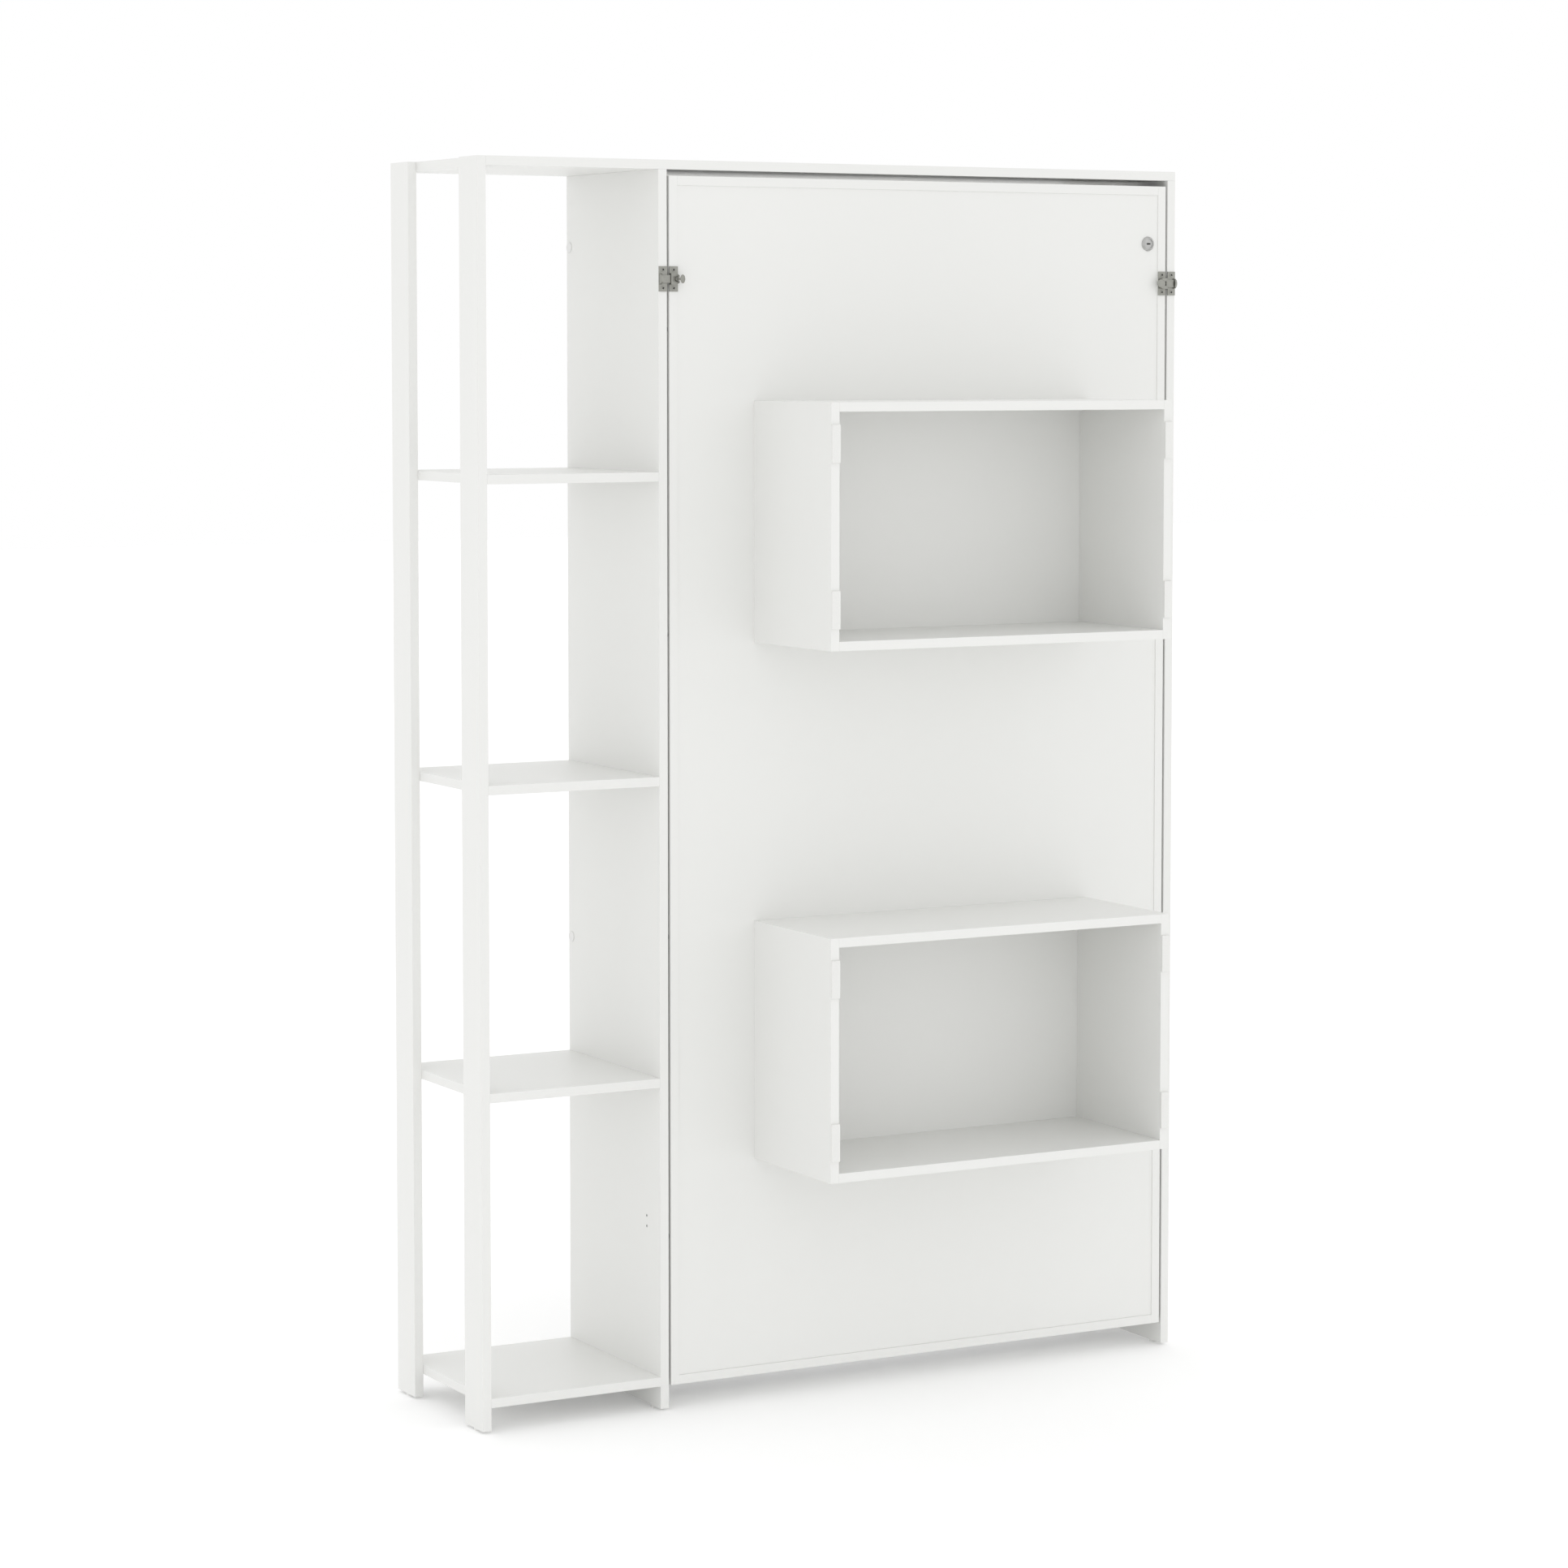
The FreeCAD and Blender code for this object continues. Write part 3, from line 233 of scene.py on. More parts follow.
def powder_coat():
    """Black powder coat with a fine orange peel."""
    colour = (0.022, 0.022, 0.023)
    finish = Finish("strut_black", colour, 0.38)
    peel = finish.noise(450.0, 1.0)
    cloud = finish.noise(60.0, 3.0)
    finish.set("Base Color", finish.blend(cloud, shade(colour, 0.8), shade(colour, 1.3)))
    finish.set("Roughness", finish.between(peel, 0.32, 0.46))
    return finish.bump(peel, 0.06 * MM, 0.6)


def chromed():
    """A ground and hard-chromed rod, with faint rings left by the grinding."""
    colour = (0.62, 0.62, 0.63)
    finish = Finish("strut_rod", colour, 0.12)
    finish.set("Metallic", 1.0)
    rings = finish.noise(1.0, 2.0, finish.stretched(40.0, 40.0, 3500.0))
    finish.set("Base Color", finish.blend(rings, shade(colour, 0.93), shade(colour, 1.05)))
    finish.set("Roughness", finish.between(rings, 0.08, 0.2))
    return finish.bump(rings, 0.01 * MM, 0.4)


def timber(name, light, dark, along, plies=False):
    """Planed wood with its grain along one axis; plywood also shows its plies on its edges."""
    finish = Finish(name, light, 0.5)
    factors = {"X": (1.6, 30.0, 30.0), "Z": (30.0, 30.0, 1.6)}[along]
    figure = finish.noise(1.0, 5.0, finish.stretched(*factors))
    fine = finish.noise(1.0, 2.0, finish.stretched(*(part * 14 for part in factors)))
    grain = finish.math("MULTIPLY_ADD", fine, 0.35, finish.math("MULTIPLY", figure, 0.65))
    colour = finish.blend(finish.between(grain, 0.0, 1.0, 0.3, 0.7), dark, light)
    if plies:
        normal = finish.add("NewGeometry").outputs["Normal"]
        on_edge = finish.math("LESS_THAN", finish.math("ABSOLUTE", finish.axis("Y", normal)), 0.5)
        layer = finish.math("GREATER_THAN", finish.waves(finish.axis("Y"), PLY), 0.0)
        edge_colour = finish.blend(layer, shade(dark, 0.72), shade(light, 0.9))
        colour = finish.blend(on_edge, colour, edge_colour)
    finish.set("Base Color", colour)
    finish.set("Roughness", finish.between(grain, 0.44, 0.62))
    return finish.bump(grain, 0.15 * MM, 0.5)


def knitted():
    """The mattress cover: a fine jersey knit with sewn diamonds, off-white faces and a grey border."""
    cover, border = (0.80, 0.80, 0.775), (0.42, 0.43, 0.44)
    finish = Finish("mattress_fabric", cover, 0.85)
    finish.set("Sheen Weight", 0.35)
    finish.set("Sheen Roughness", 0.5)
    low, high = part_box("mattress")
    x, y, z = (finish.axis(letter) for letter in "XYZ")

    wale = finish.waves(x, WALE)
    zigzag = finish.math("MULTIPLY", finish.math("ABSOLUTE", wale), 1.2)
    across = finish.math("ADD", z, y)
    course = finish.math("SINE", finish.math("MULTIPLY_ADD", across, 2 * math.pi / COURSE, zigzag))
    stitch = finish.between(finish.math("MULTIPLY", course, wale), 0.0, 1.0, -1.0, 1.0)
    cloud = finish.noise(8.0, 4.0)
    tone = finish.math("MULTIPLY_ADD", stitch, 0.5, finish.math("MULTIPLY", cloud, 0.5))
    face = finish.blend(tone, shade(cover, 0.9), shade(cover, 1.04))
    side = finish.blend(tone, shade(border, 0.8), shade(border, 1.2))

    # Dashed seams in diamonds on the faces, inside an unbroken seam all round.
    seams = []
    slope = SEAM_LINE * math.sqrt(2) * math.pi / QUILT
    for slant in (finish.math("ADD", x, z), finish.math("SUBTRACT", x, z)):
        wave = finish.math("ABSOLUTE", finish.waves(slant, 2 * QUILT))
        seams.append(finish.between(wave, 1.0, 0.0, 0.0, slope))
    dashes = finish.between(finish.waves(z, STITCH_PITCH), 0.25, 1.0, -0.4, 0.2)
    diamonds = finish.math("MULTIPLY", finish.math("MAXIMUM", *seams), dashes)
    rim_x = from_edges(finish, x, low.x, high.x)
    rim_z = from_edges(finish, z, low.z, high.z)
    rim = finish.math("MINIMUM", rim_x, rim_z)
    diamonds = finish.math("MULTIPLY", diamonds, finish.math("GREATER_THAN", rim, QUILT_BORDER))
    off_frame = finish.math("ABSOLUTE", finish.math("SUBTRACT", rim, QUILT_BORDER))
    sewn = finish.math("MAXIMUM", diamonds, finish.between(off_frame, 0.6, 0.0, 0.0, SEAM_LINE))
    face = finish.blend(sewn, face, shade(cover, 0.55))

    off_middle = finish.math("ABSOLUTE", finish.math("SUBTRACT", y, (low.y + high.y) / 2))
    on_border = finish.math("LESS_THAN", off_middle, (high.y - low.y) / 2 - TAPE_SETBACK)
    finish.set("Base Color", finish.blend(on_border, face, side))
    relief = finish.math("SUBTRACT", stitch, finish.math("MULTIPLY", sewn, 2.0))
    return finish.bump(relief, 0.25 * MM, 0.6)


def from_edges(finish, coordinate, low, high):
    """How far inside its two ends a coordinate is."""
    off_middle = finish.math("ABSOLUTE", finish.math("SUBTRACT", coordinate, (high + low) / 2))
    return finish.math("SUBTRACT", (high - low) / 2, off_middle)


def taped():
    """The woven tape bound round the mattress's edges."""
    colour = (0.40, 0.41, 0.42)
    finish = Finish("mattress_tape", colour, 0.7)
    finish.set("Sheen Weight", 0.3)
    along = finish.math("ADD", finish.axis("X"), finish.axis("Z"))
    slanted = finish.math("ADD", along, finish.math("MULTIPLY", finish.axis("Y"), 1.5))
    twill = finish.waves(slanted, TAPE_TWILL)
    weave = finish.between(twill, 0.0, 1.0, -1.0, 1.0)
    finish.set("Base Color", finish.blend(weave, shade(colour, 0.75), shade(colour, 1.2)))
    return finish.bump(weave, 0.3 * MM, 0.7)


def webbing():
    """Black polyester webbing with a herringbone weave."""
    colour = (0.035, 0.036, 0.04)
    finish = Finish("webbing", colour, 0.62)
    finish.set("Sheen Weight", 0.15)
    across = finish.axis("Z")
    side = finish.math("SIGN", finish.waves(across, STRAP_RIB))
    along = finish.math("ADD", finish.axis("X"), finish.axis("Y"))
    slanted = finish.math("MULTIPLY_ADD", side, across, along)
    twill = finish.between(finish.waves(slanted, STRAP_TWILL), 0.0, 1.0, -1.0, 1.0)
    finish.set("Base Color", finish.blend(twill, shade(colour, 0.5), shade(colour, 1.9)))
    return finish.bump(twill, 0.3 * MM, 0.8)


def pale_floor():
    """A matt white floor that glows a little, so that the shadow on it stays soft."""
    colour = (0.985, 0.985, 0.985)
    finish = Finish("floor", colour, 0.85)
    finish.set("Base Color", finish.blend(finish.noise(1.5, 3.0), shade(colour, 0.99), colour))
    finish.set("Emission Color", (1, 1, 1, 1))
    finish.set("Emission Strength", FLOOR_GLOW)
    return finish.bump(finish.noise(250.0, 2.0), 0.1 * MM, 0.2)


FINISHES = {
    "board": melamine(),
    "glide": moulded("glide", (0.80, 0.80, 0.78), 0.5),
    "cap": moulded("cap", (0.80, 0.80, 0.79), 0.45),
    "screw_steel": plated("screw_steel", (0.50, 0.51, 0.50), 0.34),
    "pivot_steel": plated("pivot_steel", (0.50, 0.51, 0.52), 0.36),
    "latch_zinc": plated("latch_zinc", (0.36, 0.36, 0.33), 0.42),
    "lock_chrome": plated("lock_chrome", (0.50, 0.50, 0.49), 0.32),
    "bush_nylon": moulded("bush_nylon", (0.72, 0.71, 0.67), 0.45),
    "slat_birch": timber("slat_birch", (0.76, 0.60, 0.40), (0.60, 0.43, 0.25), "X", plies=True),
    "ledge_wood": timber("ledge_wood", (0.80, 0.64, 0.42), (0.66, 0.46, 0.26), "Z"),
    "mattress_fabric": knitted(),
    "webbing": webbing(),
    "buckle": moulded("buckle", (0.03, 0.03, 0.032), 0.4),
    "strut_black": powder_coat(),
    "strut_rod": chromed(),
}
EDGE = edge_band()
TAPE = taped()
# Near-black plating for the walls and floor of the screws' cross recesses: painted shade, standing in
# for the shadow of a recess too shallow to hold one.
PAINTED_RECESS_SHADE = plated("recess", (0.05, 0.05, 0.048), 0.6)

# ---------------------------------------------------------------- CAD pieces that stay
# The width in millimetres of the softened edges of each finish.
ARRIS = {
    "board": 0.35, "glide": 0.5, "cap": 0.5, "pivot_steel": 0.25, "latch_zinc": 0.35,
    "lock_chrome": 0.3, "screw_steel": 0.2, "bush_nylon": 0.2, "slat_birch": 1.6,
    "ledge_wood": 1.0, "strut_black": 0.3, "strut_rod": 0.3,
}
# For the finishes whose CAD nodes other pieces replace.
HIDDEN_ARRIS = 0.3


def soften(piece, width, segments=2, angle=35):
    """Round the edges that are sharper than the angle; returns the modifier."""
    bevel = piece.modifiers.new("arris", "BEVEL")
    bevel.width = width
    bevel.segments = segments
    bevel.limit_method = "ANGLE"
    bevel.angle_limit = math.radians(angle)
    bevel.use_clamp_overlap = True
    return bevel


def dress(node, finish, arris, edge=None):
    """Give a CAD node its material, and soften its edges by modifiers."""
    mesh = node.data
    mesh.materials.clear()
    mesh.materials.append(finish)
    if "custom_normal" in mesh.attributes:
        mesh.attributes.remove(mesh.attributes["custom_normal"])
    weld = node.modifiers.new("weld", "WELD")
    weld.merge_threshold = 0.01 * MM
    if edge:
        mesh.materials.append(edge)
        mesh.shade_flat()
        flat = node.modifiers.new("flat", "DECIMATE")
        flat.decimate_type = "DISSOLVE"
        flat.angle_limit = math.radians(0.5)
        soften(node, arris * MM).material = 1
    else:
        mesh.shade_smooth()
        soften(node, arris * MM)
        normals = node.modifiers.new("normals", "WEIGHTED_NORMAL")
        normals.keep_sharp = False


def dress_nodes():
    """Dress every CAD node for its slot in the record; boards also show their edge band."""
    for part in frame["record"]["subparts"]:
        slot = part["material_slot"]
        edge = EDGE if slot == "board" else None
        dress(nodes[part["node"]], FINISHES[slot], ARRIS.get(slot, HIDDEN_ARRIS), edge)


# ---------------------------------------------------------------- mesh helpers
def new_piece(name, bm, finish, body):
    """A finished piece from a bmesh, riding on a CAD body."""
    mesh = bpy.data.meshes.new(name)
    bm.to_mesh(mesh)
    bm.free()
    mesh.materials.append(finish)
    piece = bpy.data.objects.new(name, mesh)
    bpy.context.scene.collection.objects.link(piece)
    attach(piece, body)
    return piece


def smooth(piece, angle=40.0):
    """Smooth shading, with edges sharper than the angle kept crisp."""
    piece.data.shade_smooth()
    piece.data.set_sharp_from_angle(angle=math.radians(angle))
    return piece


def skin(bm, rings, closed_path=False):
    """Quads between successive closed rings of points; returns the rings of vertices."""
    made = [[bm.verts.new(point) for point in ring] for ring in rings]
    pairs = list(zip(made, made[1:]))
    if closed_path:
        pairs.append((made[-1], made[0]))
    for first, second in pairs:
        for index in range(len(first)):
            following = (index + 1) % len(first)
            bm.faces.new((first[index], first[following], second[following], second[index]))
    return made


def arc(centre, radius, start, end, steps=10):
    """Points (x, y) of an arc between two angles in degrees."""
    points = []
    for step in range(steps + 1):
        angle = math.radians(start + (end - start) * step / steps)
        points.append((centre[0] + radius * math.cos(angle), centre[1] + radius * math.sin(angle)))
    return points


def ring_points(radius, count, height):
    """A circle of points about Z at one height."""
    turns = [2 * math.pi * index / count for index in range(count)]
    return [Vector((radius * math.cos(turn), radius * math.sin(turn), height)) for turn in turns]


# ---------------------------------------------------------------- screws
# Boards and plates have no holes, so a head stands just proud, and its recess ends above them; so
# shallow a recess holds no shadow, and its dark is painted shade, given by a near-black second
# material.
HEAD_LIFT = 0.3 * MM
RECESS_DEEP = 0.28 * MM
HEAD_SIDES = 32
# Head radius and length of the screws in each place.
PLATE_SCREW = (3.4 * MM, 18 * MM)
TOP_SCREW = (4.5 * MM, 50 * MM)
PIVOT_SCREW = (2.4 * MM, 16.5 * MM)
BED_SCREW = (5 * MM, 45 * MM)
NICHE_SCREW_OFFSET = 31 * MM
RAIL_SCREWS = 4
# The turn in degrees of the first recess of a group, and from each to the next.
RECESS_TURN = 17.0
RECESS_TURN_STEP = 41.0


def cross(reach, half, height):
    """The twelve corners of a cross, anticlockwise."""
    points = []
    for quarter in range(4):
        turn = Matrix.Rotation(quarter * math.pi / 2, 3, "Z")
        for x, y in ((reach, -half), (reach, half), (half, half)):
            points.append(turn @ Vector((x, y, height)))
    return points


def add_screw(bm, radius, length, matrix):
    """A countersunk screw with a cross recess, whose walls and floor are painted dark as shade; its own
    +Z points out of its head.
    """
    start = len(bm.verts)
    profile = [
        (radius * 0.93, 0.0), (radius, -radius * 0.06), (radius * 0.97, -radius * 0.12),
        (radius * 0.5, -radius * 0.5), (radius * 0.46, -length + radius), (radius * 0.08, -length),
    ]
    rings = skin(bm, [ring_points(size, HEAD_SIDES, height) for size, height in profile])
    bm.faces.new(reversed(rings[-1]))
    mouth = [bm.verts.new(point) for point in cross(radius * 0.56, radius * 0.21, 0.0)]
    floor = [bm.verts.new(point) for point in cross(radius * 0.5, radius * 0.17, -RECESS_DEEP)]
    rim, quarter = rings[0], HEAD_SIDES // 4
    for arm in range(4):
        edge = [rim[(arm * quarter + step) % HEAD_SIDES] for step in range(quarter + 1)]
        inner = [mouth[(arm * 3 + step) % len(mouth)] for step in (3, 2, 1)]
        bm.faces.new(edge + inner)
        bm.faces.new((edge[0], inner[2], mouth[arm * 3]))
    # The recess's walls and floor take the second material, near-black painted shade.
    for index in range(len(mouth)):
        following = (index + 1) % len(mouth)
        wall = bm.faces.new((mouth[index], mouth[following], floor[following], floor[index]))
        wall.material_index = 1
    bm.faces.new(floor).material_index = 1
    bm.verts.ensure_lookup_table()
    bmesh.ops.transform(bm, matrix=matrix, verts=bm.verts[start:])


def facing(spot, outward, turn):
    """A head's place, with +Z along the outward direction, turned about it by some degrees."""
    aim = Vector(outward).to_track_quat("Z", "Y").to_matrix().to_4x4()
    lifted = Vector(spot) + Vector(outward) * HEAD_LIFT
    return Matrix.Translation(lifted) @ aim @ Matrix.Rotation(math.radians(turn), 4, "Z")


def screw_group(node, body, size, places, slot="screw_steel"):
    """One piece of equal screws that stands for a CAD group of screws."""
    bm = bmesh.new()
    for index, (spot, outward) in enumerate(places):
        turn = RECESS_TURN + RECESS_TURN_STEP * index
        add_screw(bm, *size, facing(spot, outward, turn))
    bmesh.ops.recalc_face_normals(bm, faces=bm.faces)
    piece = new_piece(node + "_heads", bm, FINISHES[slot], body)
    # The second material is near-black painted shade for the cross recesses.
    piece.data.materials.append(PAINTED_RECESS_SHADE)
    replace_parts(smooth(piece), node)


def inside(low, high, margin):
    """The two ends of a run, each drawn in by a margin."""
    return low + margin, high - margin


def plate_screws(node, body):
    """Two screws in each of the two plates at the cabinet's edges."""
    low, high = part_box(node)
    radius = PLATE_SCREW[0]
    places = []
    for x in inside(low.x, high.x, radius):
        for z in inside(low.z, high.z, radius):
            places.append(((x, low.y, z), (0, -1, 0)))
    screw_group(node, body, PLATE_SCREW, places, "latch_zinc")


def top_screws(node):
    """Four screws down through the top panel."""
    low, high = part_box(node)
    radius = TOP_SCREW[0]
    places = []
    for x in inside(low.x, high.x, radius):
        for y in inside(low.y, high.y, radius):
            places.append(((x, y, high.z), (0, 0, 1)))
    screw_group(node, CABINET, TOP_SCREW, places)


def pivot_screws(node):
    """Two screws from outside into each pivot plate."""
    low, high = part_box(node)
    middle = (low.y + high.y) / 2
    places = []
    for z in inside(low.z, high.z, PIVOT_SCREW[0]):
        places += [((low.x, middle, z), (-1, 0, 0)), ((high.x, middle, z), (1, 0, 0))]
    screw_group(node, CABINET, PIVOT_SCREW, places)


def bed_screws(node):
    """The screws through the bed's rails into the front panel, and through it into the niche boards."""
    low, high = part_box(node)
    rail_low, rail_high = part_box("left_bed_rail")
    panel_low, panel_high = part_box("bed_front_panel")
    middle = (panel_low.y + panel_high.y) / 2
    places = []
    for index in range(RAIL_SCREWS):
        up = rail_low.z + (rail_high.z - rail_low.z) * (2 * index + 1) / (2 * RAIL_SCREWS)
        places += [((low.x, middle, up), (-1, 0, 0)), ((high.x, middle, up), (1, 0, 0))]
    for niche in ("lower_niche", "upper_niche"):
        for part in ("left_side", "right_side", "top", "bottom"):
            board_low, board_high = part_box(f"{niche}_{part}")
            centre = (board_low + board_high) / 2
            along = Vector((0, 0, 1)) if "side" in part else Vector((1, 0, 0))
            for sign in (-1, 1):
                spot = centre + along * NICHE_SCREW_OFFSET * sign
                places.append(((spot.x, panel_high.y, spot.z), (0, 1, 0)))
    screw_group(node, BED, BED_SCREW, places)


def make_screws():
    plate_screws("keeper_screws", CABINET)
    plate_screws("latch_screws", BED)
    top_screws("top_panel_screws")
    pivot_screws("pivot_screws")
    bed_screws("bed_joint_screws")


# ---------------------------------------------------------------- mattress
SKIN_INSET = 1 * MM
CORNER = 22 * MM
VOXEL = 14 * MM
PRESSURE = 4.0
CLOTH_STIFFNESS = 20
CLOTH_BENDING = 1.5
CLOTH_FRAMES = 20
PUFF_LIMIT = 9 * MM
# Shares of the way from the mattress's middle to a face: where quilting starts, and how long it grows.
FACE_START = 0.55
FACE_RAMP = 0.3
# Unevenness, as cells to the metre and height.
RIPPLES = ((9.0, 1.2 * MM), (31.0, 0.3 * MM))
SEAM_START = 12 * MM
PILLOW_DEEP = 5 * MM
SEAM_DEEP = 4 * MM
SEAM_SOFT = 8 * MM
TAPE_RADIUS = 4.5 * MM
TAPE_CORNER = 27 * MM
TAPE_STEP = 40 * MM
TAPE_SIDES = 12
TAPE_FLATNESS = 0.85
TAPE_WOBBLE = 0.8 * MM


def rounded_block(low, high, radius):
    """A block with rounded edges, as a bmesh."""
    bm = bmesh.new()
    bmesh.ops.create_cube(bm, size=1.0)
    size = high - low
    bmesh.ops.transform(bm, matrix=Matrix.Diagonal((*size, 1)), verts=bm.verts)
    bmesh.ops.translate(bm, vec=(low + high) / 2, verts=bm.verts)
    bmesh.ops.bevel(bm, geom=bm.edges[:], offset=radius, segments=5, profile=0.5, affect="EDGES")
    return bm


def evaluated(piece):
    """The piece's mesh with its modifiers applied."""
    graph = bpy.context.evaluated_depsgraph_get()
    return bpy.data.meshes.new_from_object(piece.evaluated_get(graph))


def settle(piece, kind, **settings):
    """Apply one modifier of that kind to the piece's mesh."""
    modifier = piece.modifiers.new(kind.lower(), kind)
    for name, value in settings.items():
        setattr(modifier, name, value)
    mesh = evaluated(piece)
    piece.modifiers.clear()
    old = piece.data
    piece.data = mesh
    bpy.data.meshes.remove(old)


def inflate(piece):
    """Puff the cover up as cloth for some frames, and let no point move further than the limit."""
    scene = bpy.context.scene
    rest = [vertex.co.copy() for vertex in piece.data.vertices]
    cloth = piece.modifiers.new("cloth", "CLOTH")
    cloth.settings.use_pressure = True
    cloth.settings.uniform_pressure_force = PRESSURE
    cloth.settings.effector_weights.gravity = 0
    cloth.settings.tension_stiffness = CLOTH_STIFFNESS
    cloth.settings.compression_stiffness = CLOTH_STIFFNESS
    cloth.settings.bending_stiffness = CLOTH_BENDING
    for step in range(1, CLOTH_FRAMES + 1):
        scene.frame_set(step)
    moved = evaluated(piece)
    piece.modifiers.clear()
    for vertex, start in zip(piece.data.vertices, rest):
        shift = moved.vertices[vertex.index].co - start
        if shift.length > PUFF_LIMIT:
            shift *= PUFF_LIMIT / shift.length
        vertex.co = start + shift
    bpy.data.meshes.remove(moved)
    scene.frame_set(1)


def quilt_depth(x, z, low, high):
    """How far the seams draw the cover in at a point of a face; the diamonds stop at the border."""
    rim = min(x - low.x, high.x - x, z - low.z, high.z - z)
    quilted = min(1.0, max(0.0, (rim - QUILT_BORDER) / SEAM_START))
    first = ((x + z) / QUILT) % 1.0
    second = ((x - z) / QUILT) % 1.0
    widest = QUILT / math.sqrt(8)
    seam = min(first, 1 - first, second, 1 - second) * QUILT / math.sqrt(2)
    frame_seam = abs(rim - QUILT_BORDER)
    depth = 0.0
    for distance, strength in ((seam, quilted), (frame_seam, 1.0)):
        pillow = max(0.0, 1 - distance / widest) ** 2 * PILLOW_DEEP
        crease = math.exp(-((distance / SEAM_SOFT) ** 2)) * SEAM_DEEP
        depth = max(depth, (pillow + crease) * strength)
    return depth


def make_mattress():
    """The quilted cover, puffed up as cloth, and the tape sewn round its two edges."""
    low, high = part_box("mattress")
    inner_low = low + Vector((1, 1, 1)) * SKIN_INSET
    inner_high = high - Vector((1, 1, 1)) * SKIN_INSET
    start = Vector((PUFF_LIMIT, PUFF_LIMIT * 0.4, PUFF_LIMIT))
    bm = rounded_block(inner_low + start, inner_high - start, CORNER)
    mattress = new_piece("mattress_cover", bm, FINISHES["mattress_fabric"], BED)
    settle(mattress, "REMESH", mode="VOXEL", voxel_size=VOXEL, use_smooth_shade=True)
    inflate(mattress)
    settle(mattress, "SUBSURF", levels=1, render_levels=1)
    half = (high.y - low.y) / 2
    middle = (high.y + low.y) / 2
    for vertex in mattress.data.vertices:
        point = vertex.co
        toward = (point.y - middle) / half
        on_face = min(1.0, max(0.0, (abs(toward) - FACE_START) / FACE_RAMP))
        ripple = sum(noise.noise(point * cells) * height for cells, height in RIPPLES)
        drawn = quilt_depth(point.x, point.z, low, high) + ripple
        point.y -= math.copysign(drawn, toward) * on_face
        for axis in range(3):
            point[axis] = min(inner_high[axis], max(inner_low[axis], point[axis]))
    mattress.data.shade_smooth()
    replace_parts(mattress, "mattress")
    points = [vertex.co for vertex in mattress.data.vertices]
    cover = BVHTree.FromPolygons(points, [face.vertices for face in mattress.data.polygons])
    for name, y in (("front", low.y + TAPE_SETBACK), ("back", high.y - TAPE_SETBACK)):
        make_tape(f"mattress_tape_{name}", cover, low, high, y)


def tape_path(low, high):
    """Points (x, z) round the mattress's border, with rounded corners and short steps."""
    left, right = inside(low.x, high.x, TAPE_RADIUS + TAPE_CORNER)
    foot, head = inside(low.z, high.z, TAPE_RADIUS + TAPE_CORNER)
    outline = []
    for centre, start in (
        ((right, foot), -90), ((right, head), 0), ((left, head), 90), ((left, foot), 180),
    ):
        outline += arc(centre, TAPE_CORNER, start, start + 90)
    path = []
    for index, (x, z) in enumerate(outline):
        next_x, next_z = outline[(index + 1) % len(outline)]
        parts = max(1, round(math.hypot(next_x - x, next_z - z) / TAPE_STEP))
        for part in range(parts):
            path.append((x + (next_x - x) * part / parts, z + (next_z - z) * part / parts))
    return path


def make_tape(name, cover, low, high, y):
    """The bound edge: a flattened cord that hugs the cover all round the mattress's border."""
    path = tape_path(low, high)
    depth = Vector((0, 1, 0))
    rings = []
    for index, (x, z) in enumerate(path):
        before, after = path[index - 1], path[(index + 1) % len(path)]
        along = Vector((after[0] - before[0], 0, after[1] - before[1])).normalized()
        out = depth.cross(along)
        wobble = noise.noise(Vector((x, y, z)) * 14.0) * TAPE_WOBBLE
        centre = Vector((x, y + wobble, z))
        touch = cover.ray_cast(centre + out * TAPE_CORNER, -out)[0]
        centre += out * min(0.0, (touch - centre).dot(out) + TAPE_RADIUS * 0.3)
        ring = []
        for part in range(TAPE_SIDES):
            angle = 2 * math.pi * part / TAPE_SIDES
            outward, sideways = math.cos(angle), TAPE_FLATNESS * math.sin(angle)
            ring.append(centre + out * TAPE_RADIUS * outward + depth * TAPE_RADIUS * sideways)
        rings.append(ring)
    bm = bmesh.new()
    skin(bm, rings, closed_path=True)
    bmesh.ops.recalc_face_normals(bm, faces=bm.faces)
    smooth(new_piece(name, bm, TAPE, BED), 60)


# ---------------------------------------------------------------- straps and buckles
STRAP_WIDTH = 38 * MM
STRAP_THICK = 1.7 * MM
STRAP_CORNER = 24 * MM
BUCKLE_LIFT = 70 * MM
STRAP_SINK = 0.3 * MM
BUCKLE_ROOM = 0.1 * MM
TAIL_LENGTH = 84 * MM
TAIL_WAVE = 1.1 * MM
TAIL_NARROWER = 2.4 * MM
TAIL_SKEW = 0.02
PLUG_BAR = 19 * MM
PLUG_TOP = 2.2 * MM
# The buckle's outlines in millimetres: x along the strap from the buckle's middle, y across it.
SOCKET = [(-26.5, 20), (-12, 20.5), (-9.5, 15.5), (2.5, 15.5), (5, 20), (7, 19)]
PLUG = [(8, 17), (12, 20), (26.5, 20)]
ARM = [(9, 11), (9, 17), (2, 21.5), (-5, 22.4), (-9, 19.5), (-9.2, 16.6), (1, 16.4), (4, 12)]


def strap_section(width):
    """The webbing's outline as (along its width, through its thickness), with rounded selvedges."""
    half, thin = width / 2, STRAP_THICK / 2
    selvedge, face = 5, 12
    points = []
    for side in (1, -1):
        for step in range(selvedge + 1):
            angle = math.radians(side * (90 - 180 * step / selvedge))
            across = side * (half - thin) + side * thin * math.cos(angle)
            points.append((across, thin * math.sin(angle)))
        for step in range(1, face):
            points.append((side * (half - thin) * (1 - 2 * step / face), -side * thin))
    return points


